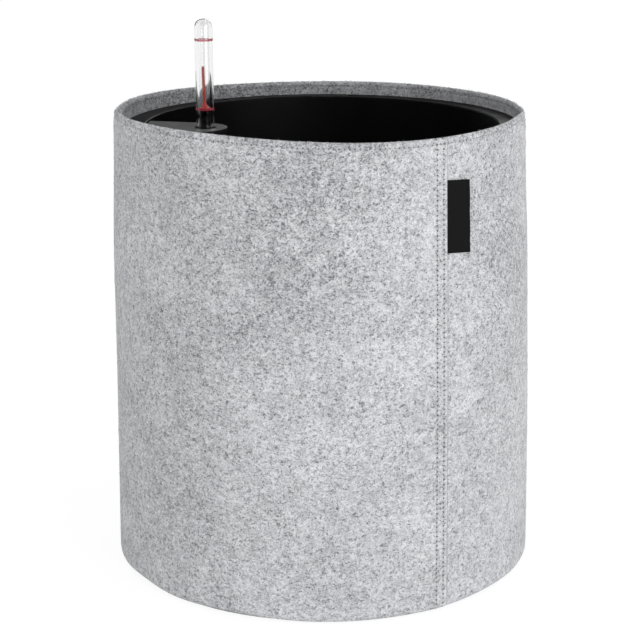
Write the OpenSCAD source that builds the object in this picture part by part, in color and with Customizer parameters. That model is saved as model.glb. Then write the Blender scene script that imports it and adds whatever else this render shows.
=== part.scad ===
// Felt cover pot with a lift-out planting liner, a filler shaft and a water level indicator.
// Millimetres, +Z up, origin at the middle of the base. The front faces -Y.
// Bearings are degrees seen from above, counter-clockwise from +X.

/* [Cover] */
// Outer diameter of the felt cover at its rim
cover_d = 314; // [304:2:324]
// How much wider the cover is at its foot than at its rim, on the radius
foot_flare = 6; // [2:0.5:8]
// Height of the felt cover
cover_h = 350; // [320:5:380]
// Thickness of the felt
felt_t = 3; // [2.5:0.25:3.5]
// Rounding where the wall turns in to meet the base
foot_round = 5; // [5:1:12]
// Depth of the facing band sewn inside the rim
facing_h = 30; // [22:1:40]
// Bearing of the cut edge of the lapped seam
seam_bearing = -56.5; // [-170:0.5:170]
// How far the lapped edge stands proud of the wall
lap_proud = 1.2; // [0.8:0.1:1.6]
// Width of the blank tag sewn in at the seam
tag_w = 20.5; // [14:0.5:28]
// Height of the blank tag
tag_h = 52; // [36:1:64]
// Depth of the tag's top edge below the rim
tag_drop = 30.5; // [20:0.5:50]

/* [Liner] */
// Depth of the liner's flange below the rim of the cover
rim_drop = 10.5; // [8:0.5:16]
// Width of the flange from the cover's facing to the mouth
flange_w = 17; // [16:0.5:20]
// Thickness of the liner's wall
liner_t = 2; // [1.6:0.2:2.6]
// How much narrower the liner is at its floor than at its mouth, on the radius
liner_taper = 14.5; // [10:0.5:18]
// Height of the liner's floor above the cover's base
floor_lift = 8; // [6:1:12]
// Height of the water reservoir under the separator
reservoir_h = 80; // [70:1:95]

/* [Filler shaft] */
// Bearing of the filler shaft
shaft_bearing = 188; // [150:1:220]
// Distance from the pot's axis to the tip of the shaft's lid
shaft_tip = 72; // [68:0.5:80]
// Radius of the rounded tip of the lid
shaft_tip_r = 21; // [19:1:25]
// Half of the angle at which the lid widens towards the wall
shaft_flare = 22; // [14:1:24]
// Thickness of the shaft's wall
shaft_t = 1.8; // [1.4:0.2:2.4]

/* [Water level indicator] */
// Diameter of the clear tube
tube_d = 13.5; // [13:0.5:15]
// Wall of the clear tube
tube_t = 2.5; // [2:0.1:3]
// Height of the tube's dome above the lid
tube_stand = 81; // [75:0.5:95]
// Height of the lower ring above the lid
min_height = 14; // [12:0.5:20]
// Height of the upper ring above the lid
max_height = 65.5; // [60:0.5:70]
// Height of the needle's tip above the lid, between the two rings
needle_height = 46; // [42:1:56]

/* [Handles] */
// Bearing of the rear handle, with the front one opposite
handle_bearing = 102; // [92:1:112]
// How far each carrying handle pulls up
handle_travel = 54; // [40:1:60]
// Arc of a handle's grip
grip_span = 42; // [36:1:50]
// Diameter of a handle's legs
leg_d = 6; // [5:0.5:6.5]

/* [Hidden] */
$fn = 96;
eps = 0.5;
arc_steps = 6;

// felt cover
cover_r = cover_d / 2;
layer_gap = 0.2;
edge_round = 1.2;
foot_r = cover_r + foot_flare;
rim_z = cover_h - edge_round;
wall_in_r = cover_r - felt_t;
facing_out_r = wall_in_r - layer_gap;
facing_in_r = facing_out_r - felt_t;
base_seam_gap = 0.3;
base_r = foot_r - foot_round - base_seam_gap;
lap_span = 9;
lap_start = 0.1;
tag_t = 0.8;
tag_gap = 0.05;
tag_span = tag_w / cover_r * 180 / PI;

// liner
liner_z = felt_t;
floor_t = 2.5;
floor_z = liner_z + floor_lift;
floor_top = floor_z + floor_t;
flange_top = cover_h - rim_drop;
flange_t = 2.5;
flange_gap = 0.6;
flange_out_r = facing_in_r - flange_gap;
mouth_r = facing_in_r - flange_w;
floor_r = mouth_r - liner_taper;
skirt_t = 2;
skirt_h = 12;
foot_ring_inset = 7;
foot_ring_r = floor_r - foot_ring_inset;
foot_ring_t = 3;
lip_round = 1.2;

// drain in the liner's floor
drain_r = 8;
drain_boss_r = 13;
drain_boss_h = 3;
plug_gap = 0.1;
plug_head_r = 12;
plug_head_h = 4;
plug_shank = 7;
plug_grip = [16, 4, 9];
seal_r = 0.95;
seal_seat = 2;

// separator between the soil and the reservoir
separator_t = 2.5;
separator_z = floor_top + reservoir_h;
separator_gap = 0.8;
separator_r = liner_in_r(separator_z) - separator_gap;
cup_count = 3;
cup_pitch_r = 68;
cup_top_r = 30;
cup_foot_r = 25;
cup_t = 2;
cup_slots = 8;
cup_slot_w = 3;
cup_slot_foot = 6;
cup_slot_head = 10;
middle_cup = handle_bearing - 90;
air_hole_r = 2.5;
air_rings = [[20, 10], [34, 16], [separator_r - 14, 52], [separator_r - 5, 56]];
air_keep_off = 4.5;

// filler shaft and lid
lid_t = 2.5;
lid_gap = 0.6;
lid_drop = 1.5;
lid_top = flange_top - lid_drop;
lid_z = lid_top - lid_t;
lid_lip_h = 4;
lid_lip_t = 1.6;
lid_lip_gap = 1.5;
lid_chamfer = 0.8;
shaft_inset = 0.6;
shaft_fit = 0.5;
shaft_notch = [26, 14];
tongue_end = cover_r;
tongue_bite = 0.05;
tongue_middle = shaft_tip + shaft_tip_r;

// water level indicator
tube_r = tube_d / 2;
tube_in_r = tube_r - tube_t;
tube_setback = 9.75;
tube_at = shaft_tip + tube_setback + tube_r;
tube_hole_gap = 1.8;
tube_hole_r = tube_r + tube_hole_gap;
tube_top = lid_top + tube_stand;
foot_h = 3;
foot_spigot_h = 8;
foot_gap = 0.1;
tube_z = floor_top + foot_h;
socket_t = 2;
socket_h = 8;
socket_gap = 0.5;
socket_r = tube_r + socket_gap;
inlet = [4, 30];
dome_t = 2.5;
dome_z = tube_top - dome_t - tube_in_r;
ring_h = 1.4;
ring_gap = 0.05;
ring_t = 0.25;
needle_r = 1.05;
needle_length = 32;
needle_cone_h = 6.5;
needle_disc_h = 1.5;
needle_spigot = [2, 6];
bob_gap = 0.3;
bob_r = tube_in_r - bob_gap;
bob_h = 36;
bore_gap = 0.05;
rod_r = 1.5;
rod_seat = 8;
float_h = 50;
float_round = 2;
float_gap = 0.4;
float_r = tube_in_r - float_gap;
needle_tip_z = lid_top + needle_height;
needle_foot_z = needle_tip_z - needle_length;
bob_z = needle_foot_z - bob_h;
float_seat_gap = 0.2;
float_z = tube_z + foot_spigot_h + float_seat_gap;
rod_z = float_z + float_h - rod_seat + eps;

// carrying handles
handle_bearings = [handle_bearing, handle_bearing + 180];
handle_r = (mouth_r + flange_out_r) / 2;
grip_w = 9;
grip_h = 6;
grip_round = 1.2;
grip_gap = 0.5;
grip_end_gap = 0.5;
tray_floor_t = 2.5;
tray_end = 1.5;
tray_z = flange_top - grip_h - tray_floor_t - grip_gap;
leg_r = leg_d / 2;
leg_inset = 5;
leg_gap = 0.4;
stop_r = 5.5;
stop_h = 5;
stop_gap = 0.5;
stop_top = tray_z - handle_travel - stop_gap;
groove_span = 17;
groove_drop = 7;
groove_bite = 0.5;
groove_wall = 1.4;

felt_grey = [0.76, 0.77, 0.78];
liner_black = [0.09, 0.09, 0.10];
part_black = [0.13, 0.13, 0.14];
mark_red = [0.75, 0.12, 0.14];
clear = [0.86, 0.93, 0.95, 0.35];
seal_grey = [0.25, 0.25, 0.26];
foam_white = [0.90, 0.90, 0.87];

// Inner radius of the tapered liner at height z
function liner_in_r(z) = floor_r + liner_taper * (z - floor_top) / (flange_top - floor_top);

// Outer radius of the tapered wall at height z
function wall_r(z) = foot_r + (cover_r - foot_r) * (z - foot_round) / (rim_z - foot_round);

// A point at radius r and a bearing
function polar(r, bearing) = [r * cos(bearing), r * sin(bearing)];

// A ring about Z that stands on z
module ring(out_r, in_r, z, h) {
    translate([0, 0, z])
        difference() {
            cylinder(r = out_r, h = h);
            translate([0, 0, -eps]) cylinder(r = in_r, h = h + 2 * eps);
        }
}

// Part of a ring about Z, from one bearing over a span
module arc_block(in_r, out_r, z, h, from, span) {
    rotate([0, 0, from])
        rotate_extrude(angle = span)
            translate([in_r, z]) square([out_r - in_r, h]);
}

// Part of a ring that follows the tapered wall, from one distance off its outer face to another
module wall_block(in_off, out_off, z, h, from, span) {
    rotate([0, 0, from])
        rotate_extrude(angle = span)
            polygon([[wall_r(z) + in_off, z], [wall_r(z) + out_off, z],
                     [wall_r(z + h) + out_off, z + h], [wall_r(z + h) + in_off, z + h]]);
}

// Points along an arc of a section, from one angle to another
function arc(middle, r, from, to) =
    [for (i = [0:arc_steps]) middle + polar(r, from + (to - from) * i / arc_steps)];

// A flat outline of a strip with its corners rounded at the top, and at the foot where asked
module strip(w, h, r, foot = false) {
    top = concat(arc([w - r, h - r], r, 0, 90), arc([r, h - r], r, 90, 180));
    base = foot ? concat(arc([r, r], r, 180, 270), arc([w - r, r], r, 270, 360)) : [[0, 0], [w, 0]];
    polygon(concat(top, base));
}

// Moves its children from the X axis to the shaft's bearing
module at_shaft() {
    rotate([0, 0, shaft_bearing]) children();
}

// Moves its children to the axis of the indicator's tube
module at_tube() {
    at_shaft() translate([tube_at, 0, 0]) children();
}

// Block with the shaft's plan along +X: a round tip and two straight sides that flare to the wall
module tongue(inset, z, h) {
    r = shaft_tip_r - inset;
    start = [tongue_middle - r * sin(shaft_flare), r * cos(shaft_flare) - tongue_bite];
    end_half = start[1] + (tongue_end - start[0]) * tan(shaft_flare);
    translate([tongue_middle, 0, z]) cylinder(r = r, h = h);
    translate([0, 0, z])
        linear_extrude(h)
            polygon([start, [tongue_end, end_half], [tongue_end, -end_half], [start[0], -start[1]]]);
}

// Raised lap of the wall's seam: an off-centre cone that swells towards the cut edge and ends in a step
module seam_lap() {
    shift = (lap_proud - lap_start) / 2 / sin(lap_span / 2);
    swell = (lap_proud + lap_start) / 2;
    height = rim_z - foot_round;
    intersection() {
        translate(concat(polar(shift, seam_bearing - lap_span / 2 + 90), foot_round))
            cylinder(r1 = norm([foot_r + swell, shift]), r2 = norm([cover_r + swell, shift]), h = height);
        wall_block(-eps, 3 * lap_proud, foot_round, height, seam_bearing - lap_span, lap_span);
    }
}

// Half section of the wall: a leaning strip with a rounded rim, turned in at its foot
module felt_wall_section() {
    turn = [foot_r - foot_round, foot_round];
    polygon(concat(
        arc(turn, foot_round, -90, 0),
        arc([cover_r - edge_round, rim_z], edge_round, 0, 90),
        arc([wall_in_r + edge_round, rim_z], edge_round, 90, 180),
        arc(turn, foot_round - felt_t, 0, -90)));
}

module felt_wall() {
    color(felt_grey) {
        rotate_extrude() felt_wall_section();
        seam_lap();
    }
}

module felt_facing() {
    color(felt_grey)
        rotate_extrude()
            translate([facing_in_r, cover_h - facing_h]) strip(felt_t, facing_h, edge_round);
}

module felt_base() {
    color(felt_grey) cylinder(r = base_r, h = felt_t);
}

module seam_tag() {
    color(part_black)
        wall_block(tag_gap, tag_gap + tag_t, cover_h - tag_drop - tag_h, tag_h,
                   seam_bearing + tag_gap, tag_span);
}

// Half section of the liner: foot ring, floor, tapered wall and flange with a turned-down skirt
module liner_section() {
    flange_under = flange_top - flange_t;
    skirt_in_r = flange_out_r - skirt_t;
    foot_ring_out_r = foot_ring_r + foot_ring_t;
    polygon(concat(
        [[0, floor_z], [foot_ring_r, floor_z], [foot_ring_r, liner_z]],
        [[foot_ring_out_r, liner_z], [foot_ring_out_r, floor_z], [floor_r + liner_t, floor_z]],
        [[liner_in_r(flange_under) + liner_t, flange_under], [skirt_in_r, flange_under]],
        [[skirt_in_r, flange_top - skirt_h], [flange_out_r, flange_top - skirt_h]],
        arc([flange_out_r - lip_round, flange_top - lip_round], lip_round, 0, 90),
        arc([mouth_r + lip_round, flange_top - lip_round], lip_round, 90, 180),
        [[floor_r, floor_top], [0, floor_top]]));
}

// Moves its children to both legs of a handle
module at_legs(bearing) {
    for (side = [-1, 1])
        translate(polar(handle_r, bearing + side * (grip_span / 2 - leg_inset))) children();
}

// Tray under the flange that takes one handle's grip
module handle_tray(bearing) {
    span = grip_span + 2 * (grip_end_gap + tray_end);
    arc_block(mouth_r + liner_t / 2, flange_out_r - skirt_t / 2,
              tray_z, flange_top - tray_z - lip_round,
              bearing - span / 2, span);
}

// What is cut from the tray: the grip's pocket, the holes for the legs and the groove for a fingernail
module handle_cut(bearing) {
    span = grip_span + 2 * grip_end_gap;
    half = grip_w / 2 + grip_gap;
    arc_block(handle_r - half, handle_r + half, tray_z + tray_floor_t, flange_top,
              bearing - span / 2, span);
    at_legs(bearing) translate([0, 0, tray_z - eps])
        cylinder(r = leg_r + leg_gap, h = tray_floor_t + 2 * eps);
    arc_block(mouth_r + groove_wall, handle_r - groove_bite, flange_top - groove_drop, groove_drop + eps,
              bearing - groove_span / 2, groove_span);
}

module liner() {
    color(liner_black)
        difference() {
            union() {
                rotate_extrude() liner_section();
                for (bearing = handle_bearings) handle_tray(bearing);
                at_tube() ring(socket_r + socket_t, socket_r, floor_top - eps, socket_h + eps);
                translate([0, 0, floor_z - drain_boss_h])
                    cylinder(r = drain_boss_r, h = drain_boss_h + eps);
            }
            for (bearing = handle_bearings) handle_cut(bearing);
            translate([0, 0, liner_z]) cylinder(r = drain_r, h = floor_top);
            at_tube() translate([0, -inlet[0] / 2, floor_top + eps])
                cube([tube_d, inlet[0], socket_h]);
        }
}

// Tapered cup that reaches down to the liner's floor and draws water up into the soil
module cup_body() {
    translate([0, 0, floor_top])
        cylinder(r1 = cup_foot_r, r2 = cup_top_r, h = separator_z - floor_top + eps);
}

module cup_hollow() {
    translate([0, 0, floor_top + cup_t])
        cylinder(r1 = cup_foot_r - cup_t, r2 = cup_top_r - cup_t, h = reservoir_h + separator_t);
    for (i = [0:cup_slots - 1])
        rotate([0, 0, 360 / cup_slots * (i + 0.5)])
            translate([cup_foot_r / 2, -cup_slot_w / 2, floor_top + cup_slot_foot])
                cube([cup_top_r, cup_slot_w, reservoir_h - cup_slot_foot - cup_slot_head]);
}

// Bearing of one cup: they stand a quarter turn apart, the outer two in line with the handles
function cup_bearing(i) = middle_cup + (i - (cup_count - 1) / 2) * 90;

module at_cups() {
    for (i = [0:cup_count - 1]) translate(polar(cup_pitch_r, cup_bearing(i))) children();
}

// Whether an air hole at radius r and a bearing stays clear of the shaft and the cups
function air_clear(r, bearing) =
    let (from_shaft = bearing - shaft_bearing,
         along = r * cos(from_shaft),
         across = abs(r * sin(from_shaft)),
         side = across * cos(shaft_flare) - (along - tongue_middle) * sin(shaft_flare))
    (norm([along - tongue_middle, across]) > shaft_tip_r + air_keep_off
        && (along < tongue_middle || side > shaft_tip_r + air_keep_off))
    && min([for (i = [0:cup_count - 1]) norm(polar(r, bearing) - polar(cup_pitch_r, cup_bearing(i)))])
        > cup_top_r + air_keep_off;

// Ring of air holes, left out where the shaft or a cup stands
module air_holes(r, count) {
    for (i = [0:count - 1]) {
        bearing = middle_cup + 360 / count * i;
        if (air_clear(r, bearing))
            translate(concat(polar(r, bearing), separator_z - eps))
                cylinder(r = air_hole_r, h = separator_t + 2 * eps);
    }
}

module separator() {
    color(part_black)
        difference() {
            union() {
                translate([0, 0, separator_z])
                    cylinder(r = separator_r, h = separator_t);
                at_cups() cup_body();
            }
            at_cups() cup_hollow();
            at_shaft() tongue(-shaft_fit, separator_z - eps, separator_t + 2 * eps);
            for (row = air_rings) air_holes(row[0], row[1]);
        }
}

// Channel along the liner's wall that carries water down to the reservoir
module filler_shaft() {
    height = lid_z - floor_top;
    color(part_black)
        intersection() {
            at_shaft()
                difference() {
                    tongue(shaft_inset, floor_top, height);
                    tongue(shaft_inset + shaft_t, floor_top - eps, height + 2 * eps);
                    translate([tongue_middle - shaft_notch[0] / 2, -cover_r / 2, floor_top - eps])
                        cube([shaft_notch[0], cover_r, shaft_notch[1] + eps]);
                }
            translate([0, 0, floor_top])
                cylinder(r1 = floor_r - shaft_fit, r2 = mouth_r - shaft_fit,
                         h = flange_top - floor_top);
        }
}

module shaft_lid() {
    lip_inset = shaft_inset + shaft_t + shaft_fit;
    color(part_black)
        difference() {
            union() {
                intersection() {
                    at_shaft() tongue(0, lid_z, lid_t);
                    cylinder(r = mouth_r - lid_gap, h = cover_h);
                }
                intersection() {
                    at_shaft()
                        difference() {
                            tongue(lip_inset, lid_z - lid_lip_h, lid_lip_h + eps);
                            tongue(lip_inset + lid_lip_t, lid_z - lid_lip_h - eps, lid_lip_h + eps);
                        }
                    cylinder(r = liner_in_r(lid_z - lid_lip_h) - lid_lip_gap, h = cover_h);
                }
            }
            at_tube() translate([0, 0, lid_z - lid_lip_h - eps]) {
                cylinder(r = tube_hole_r, h = lid_lip_h + lid_t + 2 * eps);
                translate([0, 0, lid_lip_h + lid_t + eps - lid_chamfer])
                    cylinder(r1 = tube_hole_r, r2 = tube_hole_r + 2 * lid_chamfer, h = 2 * lid_chamfer);
            }
        }
}

module drain_plug() {
    head_z = floor_top + seal_seat;
    color(part_black) {
        translate([0, 0, head_z]) cylinder(r = plug_head_r, h = plug_head_h);
        translate([0, 0, head_z - plug_shank]) cylinder(r = drain_r - plug_gap, h = plug_shank + eps);
        translate([-plug_grip[0] / 2, -plug_grip[1] / 2, head_z + plug_head_h - eps]) cube(plug_grip);
    }
}

module drain_seal() {
    color(seal_grey)
        translate([0, 0, floor_top + seal_seat / 2])
            rotate_extrude() translate([drain_r + seal_seat, 0]) circle(r = seal_r);
}

// Carrying handle: a curved grip on two round legs that run in the tray's holes
module handle(bearing) {
    color(part_black) {
        rotate([0, 0, bearing - grip_span / 2])
            rotate_extrude(angle = grip_span)
                translate([handle_r - grip_w / 2, flange_top - grip_h])
                    strip(grip_w, grip_h, grip_round, foot = true);
        at_legs(bearing) translate([0, 0, stop_top - stop_h])
            cylinder(r = leg_r, h = flange_top - grip_h / 2 - stop_top + stop_h);
    }
}

module front_handle() {
    handle(handle_bearings[1]);
}

module rear_handle() {
    handle(handle_bearings[0]);
}

// Collars on the legs' ends that stop the handle under the tray
module handle_stops(bearing) {
    color(part_black)
        at_legs(bearing) ring(stop_r, leg_r + bore_gap, stop_top - stop_h, stop_h);
}

module front_handle_stops() {
    handle_stops(handle_bearings[1]);
}

module rear_handle_stops() {
    handle_stops(handle_bearings[0]);
}

module indicator_tube() {
    color(clear)
        at_tube()
            difference() {
                union() {
                    translate([0, 0, tube_z]) cylinder(r = tube_r, h = tube_top - tube_r - tube_z);
                    translate([0, 0, tube_top - tube_r]) sphere(r = tube_r);
                }
                translate([0, 0, tube_z - eps]) cylinder(r = tube_in_r, h = dome_z - tube_z + eps);
                translate([0, 0, dome_z]) sphere(r = tube_in_r);
                translate([-tube_d, -inlet[0] / 2, tube_z + foot_spigot_h + foot_h])
                    cube([2 * tube_d, inlet[0], inlet[1]]);
            }
}

// Red level mark round the tube
module level_ring(height) {
    color(mark_red)
        at_tube()
            ring(tube_r + ring_gap + ring_t, tube_r + ring_gap, lid_top + height - ring_h / 2, ring_h);
}

module max_ring() {
    level_ring(max_height);
}

module min_ring() {
    level_ring(min_height);
}

module indicator_foot() {
    color(part_black)
        at_tube()
            difference() {
                translate([0, 0, floor_top]) {
                    cylinder(r = tube_r, h = foot_h);
                    cylinder(r = tube_in_r - foot_gap, h = foot_h + foot_spigot_h);
                }
                translate([0, 0, floor_top - eps])
                    cylinder(r = tube_in_r / 2, h = foot_h + foot_spigot_h + 2 * eps);
            }
}

module needle() {
    color(mark_red)
        at_tube() {
            translate([0, 0, needle_foot_z]) {
                cylinder(r = bob_r, h = needle_disc_h);
                translate([0, 0, needle_disc_h]) cylinder(r1 = bob_r, r2 = needle_r, h = needle_cone_h);
                cylinder(r = needle_r, h = needle_length - needle_r);
                translate([0, 0, needle_length - needle_r]) sphere(r = needle_r);
                translate([0, 0, -needle_spigot[1]])
                    cylinder(r = needle_spigot[0], h = needle_spigot[1] + eps);
            }
        }
}

module needle_bob() {
    color(part_black)
        at_tube()
            difference() {
                translate([0, 0, bob_z]) cylinder(r = bob_r, h = bob_h);
                translate([0, 0, needle_foot_z - needle_spigot[1] - eps])
                    cylinder(r = needle_spigot[0] + bore_gap, h = needle_spigot[1] + 2 * eps);
                translate([0, 0, bob_z - eps]) cylinder(r = rod_r + bore_gap, h = rod_seat + eps);
            }
}

module float_rod() {
    color(seal_grey)
        at_tube()
            translate([0, 0, rod_z]) cylinder(r = rod_r, h = bob_z + rod_seat - eps - rod_z);
}

module float() {
    color(foam_white)
        at_tube()
            difference() {
                rotate_extrude()
                    polygon(concat(
                        [[0, float_z]],
                        arc([float_r - float_round, float_z + float_round], float_round, -90, 0),
                        arc([float_r - float_round, float_z + float_h - float_round], float_round, 0, 90),
                        [[0, float_z + float_h]]));
                translate([0, 0, float_z + float_h - rod_seat])
                    cylinder(r = rod_r + bore_gap, h = rod_seat + eps);
            }
}

felt_wall();
felt_facing();
felt_base();
seam_tag();
liner();
separator();
filler_shaft();
shaft_lid();
drain_plug();
drain_seal();
front_handle();
front_handle_stops();
rear_handle();
rear_handle_stops();
indicator_tube();
max_ring();
min_ring();
indicator_foot();
needle();
needle_bob();
float_rod();
float();
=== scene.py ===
"""Looks of the felt cover pot: felt, seams, moulded liner and water level indicator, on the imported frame."""

import logging
import math
from dataclasses import dataclass
from enum import Enum
from typing import Any, Sequence

import bpy
import numpy as np
from mathutils import Matrix, Vector


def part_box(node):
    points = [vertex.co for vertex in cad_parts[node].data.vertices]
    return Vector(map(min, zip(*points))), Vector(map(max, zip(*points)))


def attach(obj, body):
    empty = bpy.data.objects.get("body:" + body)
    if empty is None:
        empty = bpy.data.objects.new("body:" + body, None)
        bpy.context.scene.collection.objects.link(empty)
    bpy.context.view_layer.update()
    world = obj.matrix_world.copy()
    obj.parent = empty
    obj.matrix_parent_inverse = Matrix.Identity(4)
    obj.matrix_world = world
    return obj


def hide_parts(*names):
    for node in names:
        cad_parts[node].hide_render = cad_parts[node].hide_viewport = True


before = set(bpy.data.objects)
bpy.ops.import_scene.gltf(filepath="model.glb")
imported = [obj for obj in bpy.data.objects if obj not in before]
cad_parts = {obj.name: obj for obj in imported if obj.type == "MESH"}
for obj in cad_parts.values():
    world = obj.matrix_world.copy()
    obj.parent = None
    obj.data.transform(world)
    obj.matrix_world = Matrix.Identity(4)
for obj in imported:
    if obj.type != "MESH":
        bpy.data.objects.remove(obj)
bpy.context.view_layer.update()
LOG = logging.getLogger("cover_pot")

MM = 0.001
ON_AXIS = 1e-6
UV_NAME = "FeltUV"
WHITE = (1.0, 1.0, 1.0)

Array = np.ndarray
Colour = tuple[float, float, float]
Place = tuple[float, float, float]
Pair = tuple[float, float]
Row = tuple[np.ndarray, float]
Inputs = dict[str | int, Any]
Thing = bpy.types.Object
Material = bpy.types.Material
Tree = bpy.types.NodeTree
Node = bpy.types.Node
Output = bpy.types.NodeSocket


# Node trees


class Graph:
    """Adds nodes to one tree and joins their sockets."""

    def __init__(self, tree: Tree) -> None:
        """Keeps the tree that the nodes go into."""
        self.tree = tree

    def feed(self, socket: Output, value: Any) -> None:
        """Links the socket where the value is another socket, and otherwise sets it.

        Args:
            socket: input to feed.
            value: output socket, number, vector or colour.
        """
        if isinstance(value, Output):
            self.tree.links.new(value, socket)
        else:
            socket.default_value = (*value, 1.0) if socket.type == "RGBA" else value

    def fill(self, node: Node, inputs: Inputs) -> None:
        """Feeds several inputs of a node.

        Args:
            node: the node.
            inputs: values by input name, identifier or index.
        """
        for key, value in inputs.items():
            named = [s for s in node.inputs if key in (s.identifier, s.name) and s.enabled]
            self.feed(node.inputs[key] if isinstance(key, int) else named[0], value)

    def add(self, kind: str, inputs: Inputs | None = None, **settings: Any) -> Node:
        """Makes a node.

        Args:
            kind: node type.
            inputs: values by input name, identifier or index.
            settings: node properties.

        Returns:
            The new node.
        """
        node = self.tree.nodes.new(kind)
        for key, value in settings.items():
            setattr(node, key, value)
        self.fill(node, inputs or {})
        return node

    def one(self, kind: str, inputs: Inputs | None = None, **settings: Any) -> Output:
        """Makes a node and returns its first output."""
        return self.add(kind, inputs, **settings).outputs[0]

    def math(self, operation: str, *values: Any) -> Output:
        """Returns the result of one math operation on up to three values."""
        return self.one("ShaderNodeMath", dict(enumerate(values)), operation=operation)

    def times(self, a: Any, b: Any) -> Output:
        """Returns the product of two values."""
        return self.math("MULTIPLY", a, b)

    def plus(self, a: Any, b: Any) -> Output:
        """Returns the sum of two values."""
        return self.math("ADD", a, b)

    def minus(self, a: Any, b: Any) -> Output:
        """Returns the first value less the second."""
        return self.math("SUBTRACT", a, b)

    def vector(self, operation: str, *values: Any) -> Output:
        """Returns the vector result of one vector operation."""
        return self.one("ShaderNodeVectorMath", dict(enumerate(values)), operation=operation)

    def clamp(self, value: Any, high: float) -> Output:
        """Returns the value held between 0 and a limit."""
        return self.one("ShaderNodeClamp", {"Value": value, "Min": 0.0, "Max": high})

    def smooth(
        self, value: Any, low: float, high: float, to_low: float = 0.0, to_high: float = 1.0
    ) -> Output:
        """Returns the value taken smoothly from one span to another."""
        inputs = {"Value": value, "From Min": low, "From Max": high, "To Min": to_low, "To Max": to_high}
        return self.one("ShaderNodeMapRange", inputs, interpolation_type="SMOOTHSTEP")

    def noise(
        self, at: Any, scale: Any, detail: float = 2.0, rough: float = 0.5, warp: float = 0.0
    ) -> Output:
        """Returns a noise value from 0 to 1 at a scale in cycles per metre."""
        inputs = {"Vector": at, "Scale": scale, "Detail": detail, "Roughness": rough, "Distortion": warp}
        return self.one("ShaderNodeTexNoise", inputs)

    def ridge(self, at: Any, scale: float, **settings: float) -> Output:
        """Returns the distance of a noise from its middle value, which is 0 along winding lines."""
        return self.math("ABSOLUTE", self.minus(self.noise(at, scale, **settings), 0.5))

    def blend(self, factor: Any, a: Any, b: Any) -> Output:
        """Mixes two colours.

        Args:
            factor: share of the second colour, from 0 to 1.
            a: first colour.
            b: second colour.

        Returns:
            The mixed colour.
        """
        inputs = {"Factor_Float": factor, "A_Color": a, "B_Color": b}
        node = self.add("ShaderNodeMix", inputs, data_type="RGBA")
        return next(s for s in node.outputs if s.identifier == "Result_Color")

    def place(self, kind: str = "Object") -> Output:
        """Returns one output of the texture coordinates."""
        return self.add("ShaderNodeTexCoord").outputs[kind]

    def split(self, vector: Any) -> Any:
        """Returns the three parts of a vector."""
        return self.add("ShaderNodeSeparateXYZ", {0: vector}).outputs

    def mark(self, name: str) -> Output:
        """Returns a named value of the mesh."""
        return self.add("ShaderNodeAttribute", attribute_name=name).outputs["Fac"]

    def bump(self, height: Any, depth: float, strength: float) -> Output:
        """Returns the normal of a surface roughened by a height from 0 to 1, with its depth in metres."""
        return self.one("ShaderNodeBump", {"Height": height, "Distance": depth, "Strength": strength})


class Socket(Enum):
    """Kinds of group sockets."""

    NUMBER = "NodeSocketFloat"
    WHOLE = "NodeSocketInt"
    VECTOR = "NodeSocketVector"
    COLOUR = "NodeSocketColor"
    SHAPE = "NodeSocketGeometry"
    MATERIAL = "NodeSocketMaterial"


class TreeKind(Enum):
    """Kinds of node groups."""

    SHADER = "ShaderNodeTree"
    SHAPE = "GeometryNodeTree"


def open_group(
    name: str, kind: TreeKind, inputs: dict[str, Socket], outputs: dict[str, Socket]
) -> tuple[Graph, Any, Node]:
    """Makes a node group with named sockets.

    Args:
        name: name of the group.
        kind: kind of tree.
        inputs: socket kind by input name.
        outputs: socket kind by output name.

    Returns:
        The graph of the group, the sockets of its inputs and its output node.
    """
    tree = bpy.data.node_groups.new(name, kind.value)
    for way, sockets in (("INPUT", inputs), ("OUTPUT", outputs)):
        for label, sort in sockets.items():
            tree.interface.new_socket(label, in_out=way, socket_type=sort.value)
    graph = Graph(tree)
    return graph, graph.add("NodeGroupInput").outputs, graph.add("NodeGroupOutput")


# Shared effects


@dataclass(frozen=True)
class Strand:
    """Winding fibres in the felt: lines per metre, their width and the shift of their pattern."""

    scale: float
    width: float
    shift: float


STRANDS = (Strand(200.0, 0.06, 0.0), Strand(330.0, 0.075, 3.1), Strand(560.0, 0.08, 7.7))


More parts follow.
